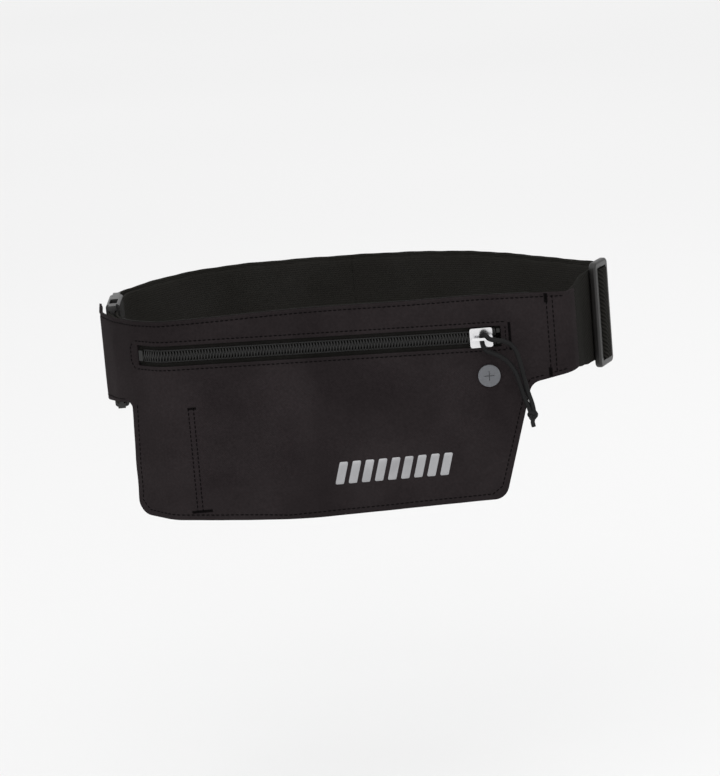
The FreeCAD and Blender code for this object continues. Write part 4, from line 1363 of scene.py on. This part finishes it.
@dataclass
class Zip:
    """Tapes and teeth, shut up to the slider; beyond it both sides stand a little apart.

    Attributes:
        sizes: the belt's sizes.
        tape_left: X of the tapes' left end.
        tape_right: X of the tapes' right end.
        tape_width: width of one tape.
        pitch: from one turn of a coil to the next.
        fold: from the zip's centre line to the line that each side draws back to; not used.
        kept_width: share of its width that an opened side keeps; not used.
    """

    sizes: BeltSizes = SIZES
    tape_left: float = -118.9
    tape_right: float = 79.0
    tape_width: float = 11.6
    pitch: float = 1.55
    fold: float = 7.0
    kept_width: float = 0.32

    def __post_init__(self) -> None:
        """Take the way of the front fabric, which both tapes follow on its inside."""
        self.face = PanelFace(self.sizes)

    def bent(self, points: np.ndarray) -> np.ndarray:
        """Lay points of a flat zip along the front fabric.

        Args:
            points: place along the plan, distance out from the front of the tape, and height.

        Returns:
            Points in space.
        """
        rise = self.face.zip_centre(self.face.x_at(points[:, 0])) - self.sizes.zip_z
        return self.face.place(points[:, 0], points[:, 2] + rise, points[:, 1] - self.sizes.fabric)

    def build(self) -> None:
        """Make both sides of the zip."""
        for side, word in ((1.0, "upper"), (-1.0, "lower")):
            tape = self.tape(side).build(f"zip_tape_{word}_weave")
            TAPE_FINISH.dress(tape)
            teeth = self.teeth(side).build(f"zip_coil_{word}_turns")
            TEETH_FINISH.dress(teeth)
            for piece, node in ((tape, f"zip_tape_{word}"), (teeth, f"zip_coil_{word}")):
                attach(piece, "pouch")
                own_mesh(piece)
                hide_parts(node)
        log.info("zip: pitch %.2f mm", self.pitch)

    def tape(self, side: float) -> MeshDraft:
        """One woven tape with its parted end beyond the slider.

        Args:
            side: 1 above the teeth, -1 below.

        Returns:
            The tape's mesh.
        """
        draft = MeshDraft()
        ends = np.array([float(self.face.along(x)) for x in (self.tape_right, 67.5, 65.5, self.tape_left)])
        columns = np.concatenate([np.linspace(ends[0], ends[1] - 1, 8), np.linspace(ends[1], ends[2], 5),
                                  np.linspace(ends[2] + 0.5, ends[3], 130)])
        parted = np.clip((ends[2] - columns) / 1.6, 0, 1)
        near = 0.35 + 1.4 * parted
        rows = np.array([0.0, 0.06, 0.2, 0.4, 0.6, 0.8, 1.0])
        front, back = [], []
        for row in rows:
            z = self.sizes.zip_z + side * (near + self.tape_width * row)
            cord = 0.25 * math.exp(-((row - 0.06) / 0.06) ** 2)
            front.append(np.column_stack([columns, np.full(len(columns), cord), z]))
            back.append(np.column_stack([columns, np.full(len(columns), -0.8), z]))
        laid = np.concatenate(front + back)
        points = self.bent(laid)
        flat = laid[:, [0, 2]]
        count, levels = len(columns), len(rows)
        faces = []
        for level in range(levels - 1):
            for k in range(count - 1):
                here, above = level * count + k, (level + 1) * count + k
                quad = [here, here + 1, above + 1, above]
                hidden = [number + levels * count for number in quad]
                faces.append(quad[::-1] if side > 0 else quad)
                faces.append(hidden if side > 0 else hidden[::-1])
        for k in range(count - 1):
            rim = [k, k + levels * count, k + 1 + levels * count, k + 1]
            faces.append(rim[::-1] if side > 0 else rim)
        draft.add(points, flat, faces)
        return draft

    def teeth(self, side: float) -> MeshDraft:
        """The turns of one coil, which reach over the centre line between those of the other.

        Args:
            side: 1 above the centre line, -1 below.

        Returns:
            The coil's mesh.
        """
        draft = MeshDraft()
        closed_end = float(self.face.along(64.5))
        last = float(self.face.along(self.sizes.zip_left + 3.0))
        first = closed_end + (0.0 if side > 0 else self.pitch / 2)
        places = list(np.arange(first, last, self.pitch))
        for place in places + [closed_end - 7.2, closed_end - 6.4]:
            shift = 0.0 if place >= closed_end else 1.7
            root = self.sizes.zip_z + side * (3.0 + shift)
            head = self.sizes.zip_z - side * (0.9 - shift)
            slant = 0.22
            line = np.array([[place + slant, 0.5, root], [place, 1.4, root - side * 0.9],
                             [place - slant, 1.85, (root + head) / 2], [place - slant, 1.5, head],
                             [place - slant, 0.7, head]])
            sweep_tube(draft, self.bent(line), 0.42, closed=False, sides=6)
        spine = np.linspace(closed_end, last, 110)
        edge = np.full(110, self.sizes.zip_z + side * 2.9)
        core = np.column_stack([spine, np.full(110, 0.5), edge])
        sweep_tube(draft, self.bent(core), 0.5, closed=False, sides=6)
        return draft


# ---------------------------------------------------------------- elastic webbing

@dataclass
class Webbing:
    """The elastic: running and returning layers of the belt, and the tab that holds the socket."""

    sizes: BeltSizes = SIZES
    step: float = 2.2

    def running(self) -> PlanPath:
        """From the pouch through the adjuster and round the back to the plug.

        Returns:
            The path of the middle of the webbing.
        """
        points, radii = self.back()
        start = [(92.0, self.sizes.strap_corner[1]), self.sizes.strap_corner, self.sizes.strap_side,
                 self.sizes.at_adjuster(-24.0, -3.05)]
        weave = self.weave()
        turns = [0, self.sizes.strap_radius, 30.0, 30.0] + [1.6] * len(weave) + radii
        return PlanPath(rounded(start + weave + points, turns))

    def weave(self) -> list[Point2]:
        """The webbing's way over the centre bar of the adjuster.

        Returns:
            Corners of the way.
        """
        at = self.sizes.at_adjuster
        return [at(-5.74, -3.05), at(-4.16, 2.85), at(4.16, 2.85), at(5.74, -3.05)]

    def back(self) -> tuple[list[Point2], list[float]]:
        """The way from the adjuster round the back.

        Returns:
            Corners and the radius at each.
        """
        outer = self.sizes.buckle_x - 2.25
        points = [self.sizes.at_adjuster(15.5, -3.05), (131.0, -8.0), (117.0, 8.5), (101.0, 29.0),
                  (81.0, 53.0), (57.0, 71.0), (21.0, 84.0), (-22.0, 88.6), (-65.0, 88.6), (-92.5, 77.5),
                  (-113.5, 56.0), (-129.2, 29.0), (-136.0, 12.0), (outer, 3.6), (outer, 0.3)]
        radii = widest_radii(points)
        radii[0] = 6.5
        radii[1] = min(radii[1], 24.0)
        return points, [min(radius, 160.0) for radius in radii]

    def returning(self) -> PlanPath:
        """From the seam round the adjuster's centre bar along the inside to the fold at the plug.

        Returns:
            The path of the middle of the webbing.
        """
        sizes, at = self.sizes, self.sizes.at_adjuster
        points, radii = self.back()
        layer = sizes.webbing + sizes.gap
        chain = [self.weave()[3]] + points
        kept = len(points) - 4
        inner = [moved_corner(chain[i - 1], chain[i], chain[i + 1], layer) for i in range(1, kept + 1)]
        sewn = [at(2.35, -3.75), at(2.35, 1.05), at(-2.35, 1.05), at(-2.35, -3.05 - layer)]
        near, far, fold = sizes.buckle_x + 2.25, sizes.buckle_x - 2.25, -2.05
        tail = [(-127.4, 28.0), (near, 9.0), (near, fold), (far, fold), (far, 0.3)]
        turns = [0, 1.1, 1.1, 1.1] + [radius - layer for radius in radii[:kept]] + [38.0, 20.0, 1.5, 1.5, 0]
        return PlanPath(rounded(sewn + inner + tail, turns))

    def tab(self) -> PlanPath:
        """The short tab behind the fabric round the bar of the socket.

        Returns:
            The path of the middle of the webbing.
        """
        sizes = self.sizes
        before, turn, after = sizes.front_plan()[3:6]
        share = 0.66
        start = (before[0] + share * (turn[0] - before[0]), before[1] + share * (turn[1] - before[1]))
        seat, layer = sizes.strap_seat, sizes.webbing + sizes.gap
        outer = [moved_corner(before, start, turn, -seat),
                 moved_corner(before, turn, after, -seat - sizes.gap)]
        inner = [moved_corner(before, start, turn, -seat - layer),
                 moved_corner(before, turn, after, -seat - sizes.gap - layer)]
        near, far = sizes.buckle_x + 2.25, sizes.buckle_x - 2.25
        fold = -42.0 + 2.4 + sizes.gap + sizes.webbing / 2
        points = outer + [(far, -41.8), (far, fold), (near, fold), (near, -43.4)] + inner[::-1]
        return PlanPath(rounded(points, [0, 34.0 - seat, 9.0, 1.5, 1.5, 8.0, 34.0 - seat - layer, 0]))

    def ribbon(self, draft: MeshDraft, path: PlanPath, low: float, high: float, seed: int,
               narrowing: Callable[[float], Point2]) -> None:
        """Add a stretch of webbing.

        Args:
            draft: the mesh to add to.
            path: the way of its middle.
            low: where the stretch starts.
            high: where it ends.
            seed: which slight unevenness its edges have.
            narrowing: how much lower the upper edge and higher the lower edge is at a place.
        """
        half, thick = self.sizes.half_band, self.sizes.webbing / 2
        levels = np.linspace(-half + 0.7, half - 0.7, 15)
        section = [(thick, z) for z in levels]
        section += [(thick * 0.55, half - 0.12), (-thick * 0.55, half - 0.12)]
        section += [(-thick, z) for z in levels[::-1]]
        section += [(-thick * 0.55, -half + 0.12), (thick * 0.55, -half + 0.12)]
        shape = np.array(section)
        stations = path.stations(low, high, self.step)
        rings, flats = [], []
        for s in stations:
            spot, left = path.at(float(s))
            wave = 0.10 * math.sin(s * 0.19 + seed) + 0.07 * math.sin(s * 0.47 + 2 * seed)
            z = shape[:, 1] + wave * np.sign(shape[:, 1]) * (np.abs(shape[:, 1]) / half) ** 3
            down, up = narrowing(float(s))
            z = z - down * np.clip(shape[:, 1] / half, 0, 1) + up * np.clip(-shape[:, 1] / half, 0, 1)
            plan = spot[None, :] + left[None, :] * shape[:, :1]
            rings.append(np.column_stack([plan, z]))
            flats.append(np.column_stack([np.full(len(shape), s), z]))
        count, size = len(stations), len(shape)
        faces = []
        for index in range(count - 1):
            for number in range(size):
                after = (number + 1) % size
                faces.append((index * size + number, index * size + after,
                              (index + 1) * size + after, (index + 1) * size + number))
        faces.append(tuple(range(size))[::-1])
        faces.append(tuple((count - 1) * size + number for number in range(size)))
        draft.add(np.concatenate(rings), np.concatenate(flats), faces)

    def piece(self, name: str, stretches: Sequence[tuple[PlanPath, float, float, Callable[[float], Point2]]],
              finish: FabricFinish = ELASTIC_FINISH) -> bpy.types.Object:
        """One object of several stretches of webbing.

        Args:
            name: its name.
            stretches: path, start, end and narrowing of each.
            finish: its weave.

        Returns:
            The object.
        """
        draft = MeshDraft()
        for seed, (path, low, high, narrowing) in enumerate(stretches, start=1):
            self.ribbon(draft, path, low, high, seed, narrowing)
        made = draft.build(name)
        finish.dress(made)
        return made

    @staticmethod
    def crossing(path: PlanPath, x: float) -> float:
        """Where a path crosses an X behind the body.

        Args:
            path: the path.
            x: X in millimetres.

        Returns:
            Distance along the path.
        """
        places = np.linspace(0, path.length, 4000)
        spots = np.array([path.at(float(s))[0] for s in places])
        behind = spots[:, 1] > 20
        return float(places[behind][np.argmin(np.abs(spots[behind, 0] - x))])

    @staticmethod
    def full_edges(along: float) -> Point2:
        """No narrowing at any distance along the webbing."""
        return 0.0, 0.0

    @staticmethod
    def sewn_edges(along: float) -> Point2:
        """Narrowing of the running layer, which is gathered where it is sewn to the panel.

        Args:
            along: distance from the sewn end.

        Returns:
            How much lower the upper edge and higher the lower edge is.
        """
        gathered = float(np.clip(1 - (along - 22.0) / 32.0, 0, 1))
        return 3.0 * gathered, 5.0 * gathered

    @staticmethod
    def inner_edges(along: float, length: float) -> Point2:
        """Narrowing of the inner layer, which sits a little lower than the outer one.

        Args:
            along: distance from its seam.
            length: length of the whole layer.

        Returns:
            How much lower the upper edge and higher the lower edge is.
        """
        lowered = float(np.clip(along / 30.0, 0, 1) * np.clip((length - along) / 60.0, 0, 1))
        return 2.3 * lowered, 0.6 * lowered

    @staticmethod
    def tab_edges(along: float, length: float) -> Point2:
        """Narrowing of the tab, which is gathered at both of its sewn ends.

        Args:
            along: distance from its first end.
            length: length of the tab.

        Returns:
            How much lower the upper edge and higher the lower edge is.
        """
        gathered = float(np.clip(1 - min(along, length - along) / 16.0, 0, 1))
        return 1.5 * gathered, 5.4 * gathered

    def build(self) -> None:
        """Make the belt's webbing in three stretches, and the tab."""
        running, returning, tab = self.running(), self.returning(), self.tab()
        top = self.sizes.at_adjuster(0.0, 2.85)
        places = np.linspace(0, 140, 2000)
        over_bar = float(places[np.argmin([math.dist(running.at(float(s))[0], top) for s in places])])
        middle_run, middle_return = self.crossing(running, 0.0), self.crossing(returning, 0.0)

        inner = partial(self.inner_edges, length=returning.length)
        front = self.piece("webbing_front", [(running, 0.0, over_bar, self.sewn_edges)], SLANTED_FINISH)
        right = self.piece("webbing_right", [(running, over_bar, middle_run, self.full_edges),
                                             (returning, 0.0, middle_return, inner)])
        left = self.piece("webbing_left", [(running, middle_run, running.length, self.full_edges),
                                           (returning, middle_return, returning.length, inner)])
        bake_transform(front)
        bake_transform(right)
        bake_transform(left)
        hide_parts("strap_outer_run")
        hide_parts("strap_inner_run")
        loop = self.piece("tab_webbing", [(tab, 0.0, tab.length, partial(self.tab_edges, length=tab.length))])
        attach(loop, "pouch")
        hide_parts("buckle_tab")
        log.info("webbing: running %.0f mm, returning %.0f mm", running.length, returning.length)


# ---------------------------------------------------------------- hardware

@dataclass
class Hardware:
    """The solid pieces that the frame already holds: they get their finish and soft edges."""

    edges: tuple[tuple[str, HardFinish, float], ...] = (
        ("zip_slider", METAL_FINISH, 0.28),
        ("zip_top_stops", TEETH_FINISH, 0.3),
        ("zip_end_stop", TEETH_FINISH, 0.3),
        ("port_button", PORT_FINISH, 0.12),
        ("port_backing", PORT_FINISH, 0.1),
        ("adjuster_frame", PLASTIC_FINISH, 0.35),
        ("buckle_socket", PLASTIC_FINISH, 0.5),
        ("buckle_plug", PLASTIC_FINISH, 0.4),
        ("buckle_arm_upper", PLASTIC_FINISH, 0.4),
        ("buckle_arm_lower", PLASTIC_FINISH, 0.4),
    )

    def build(self) -> None:
        """Dress each piece."""
        for name, finish, width in self.edges:
            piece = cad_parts[name]
            finish.dress(piece)
            soften_edges(piece, width, 2, 32.0)
        log.info("hardware: %d pieces", len(self.edges))


# ---------------------------------------------------------------- studio

@dataclass
class Studio:
    """A pale floor and soft light.

    Attributes:
        floor_z: height of the floor in metres.
    """

    floor_z: float = -0.27

    def build(self) -> None:
        """Make the floor and the lights."""
        mesh = bpy.data.meshes.new("floor")
        reach = 14.0
        corners = [(-reach, -reach, 0), (reach, -reach, 0), (reach, reach, 0), (-reach, reach, 0)]
        mesh.from_pydata(corners, [], [(0, 1, 2, 3)])
        floor = bpy.data.objects.new("floor", mesh)
        floor.location = (0, 0, self.floor_z)
        bpy.context.scene.collection.objects.link(floor)
        bench = NodeBench("floor_paper")
        place = bench.add("ShaderNodeTexCoord").outputs["Object"]
        tone = bench.remap(bench.noise(place, 0.5, 1.0), 0.3, 0.7, 0.797, 0.817)
        surface = bench.add("ShaderNodeBsdfDiffuse", {"Color": bench.add(
            "ShaderNodeCombineColor", {0: tone, 1: tone, 2: tone}).outputs[0]})
        mesh.materials.append(bench.finish(surface.outputs[0]))
        self.sky()
        self.softbox("key", (-0.2, -1.5, 1.6), 1.1, 3.2)
        self.softbox("top", (0.5, 0.4, 1.7), 1.0, 2.4)
        self.softbox("rim", (1.5, -0.6, 0.6), 0.8, 1.2)
        log.info("studio: floor at %.2f m", self.floor_z)

    @staticmethod
    def sky() -> None:
        """Make the room's own light, brightest from high in front and a little from the left."""
        world = bpy.data.worlds.new("studio")
        world.use_nodes = True
        tree = world.node_tree
        place = tree.nodes.new("ShaderNodeTexCoord")
        dot = tree.nodes.new("ShaderNodeVectorMath")
        dot.operation = "DOT_PRODUCT"
        brightest = (-0.2, -0.5, 0.84)
        dot.inputs[1].default_value = brightest
        ramp = tree.nodes.new("ShaderNodeMapRange")
        away, towards, dim, bright = -0.6, 1.0, 0.48, 1.33
        for socket, value in zip(ramp.inputs[1:5], (away, towards, dim, bright)):
            socket.default_value = value
        tree.links.new(place.outputs["Generated"], dot.inputs[0])
        tree.links.new(dot.outputs["Value"], ramp.inputs[0])
        tree.links.new(ramp.outputs[0], tree.nodes["Background"].inputs["Strength"])
        tree.nodes["Background"].inputs["Color"].default_value = (1.0, 1.0, 1.0, 1.0)
        bpy.context.scene.world = world

    @staticmethod
    def softbox(name: str, place: Point3, size: float, power: float) -> None:
        """Add a square soft light that faces the belt.

        Args:
            name: its name.
            place: where it stands, in metres.
            size: its side in metres.
            power: watts.
        """
        data = bpy.data.lights.new(name, "AREA")
        data.shape = "SQUARE"
        data.size = size
        data.energy = power
        lamp = bpy.data.objects.new(name, data)
        lamp.location = place
        lamp.rotation_euler = (Vector((0, 0, -0.02)) - Vector(place)).to_track_quat("-Z", "Y").to_euler()
        bpy.context.scene.collection.objects.link(lamp)


def main() -> None:
    """Build the camera, every sub-assembly and the studio."""
    logging.basicConfig(level=logging.INFO, format="%(name)s: %(message)s")
    Viewpoint().place()
    bpy.context.scene.view_settings.view_transform = "Standard"
    for part in (PullCord(), Pouch(), Zip(), Webbing(), Hardware(), Studio()):
        part.build()
        log.info("built %s", type(part).__name__)


if __name__ == "__main__":
    main()
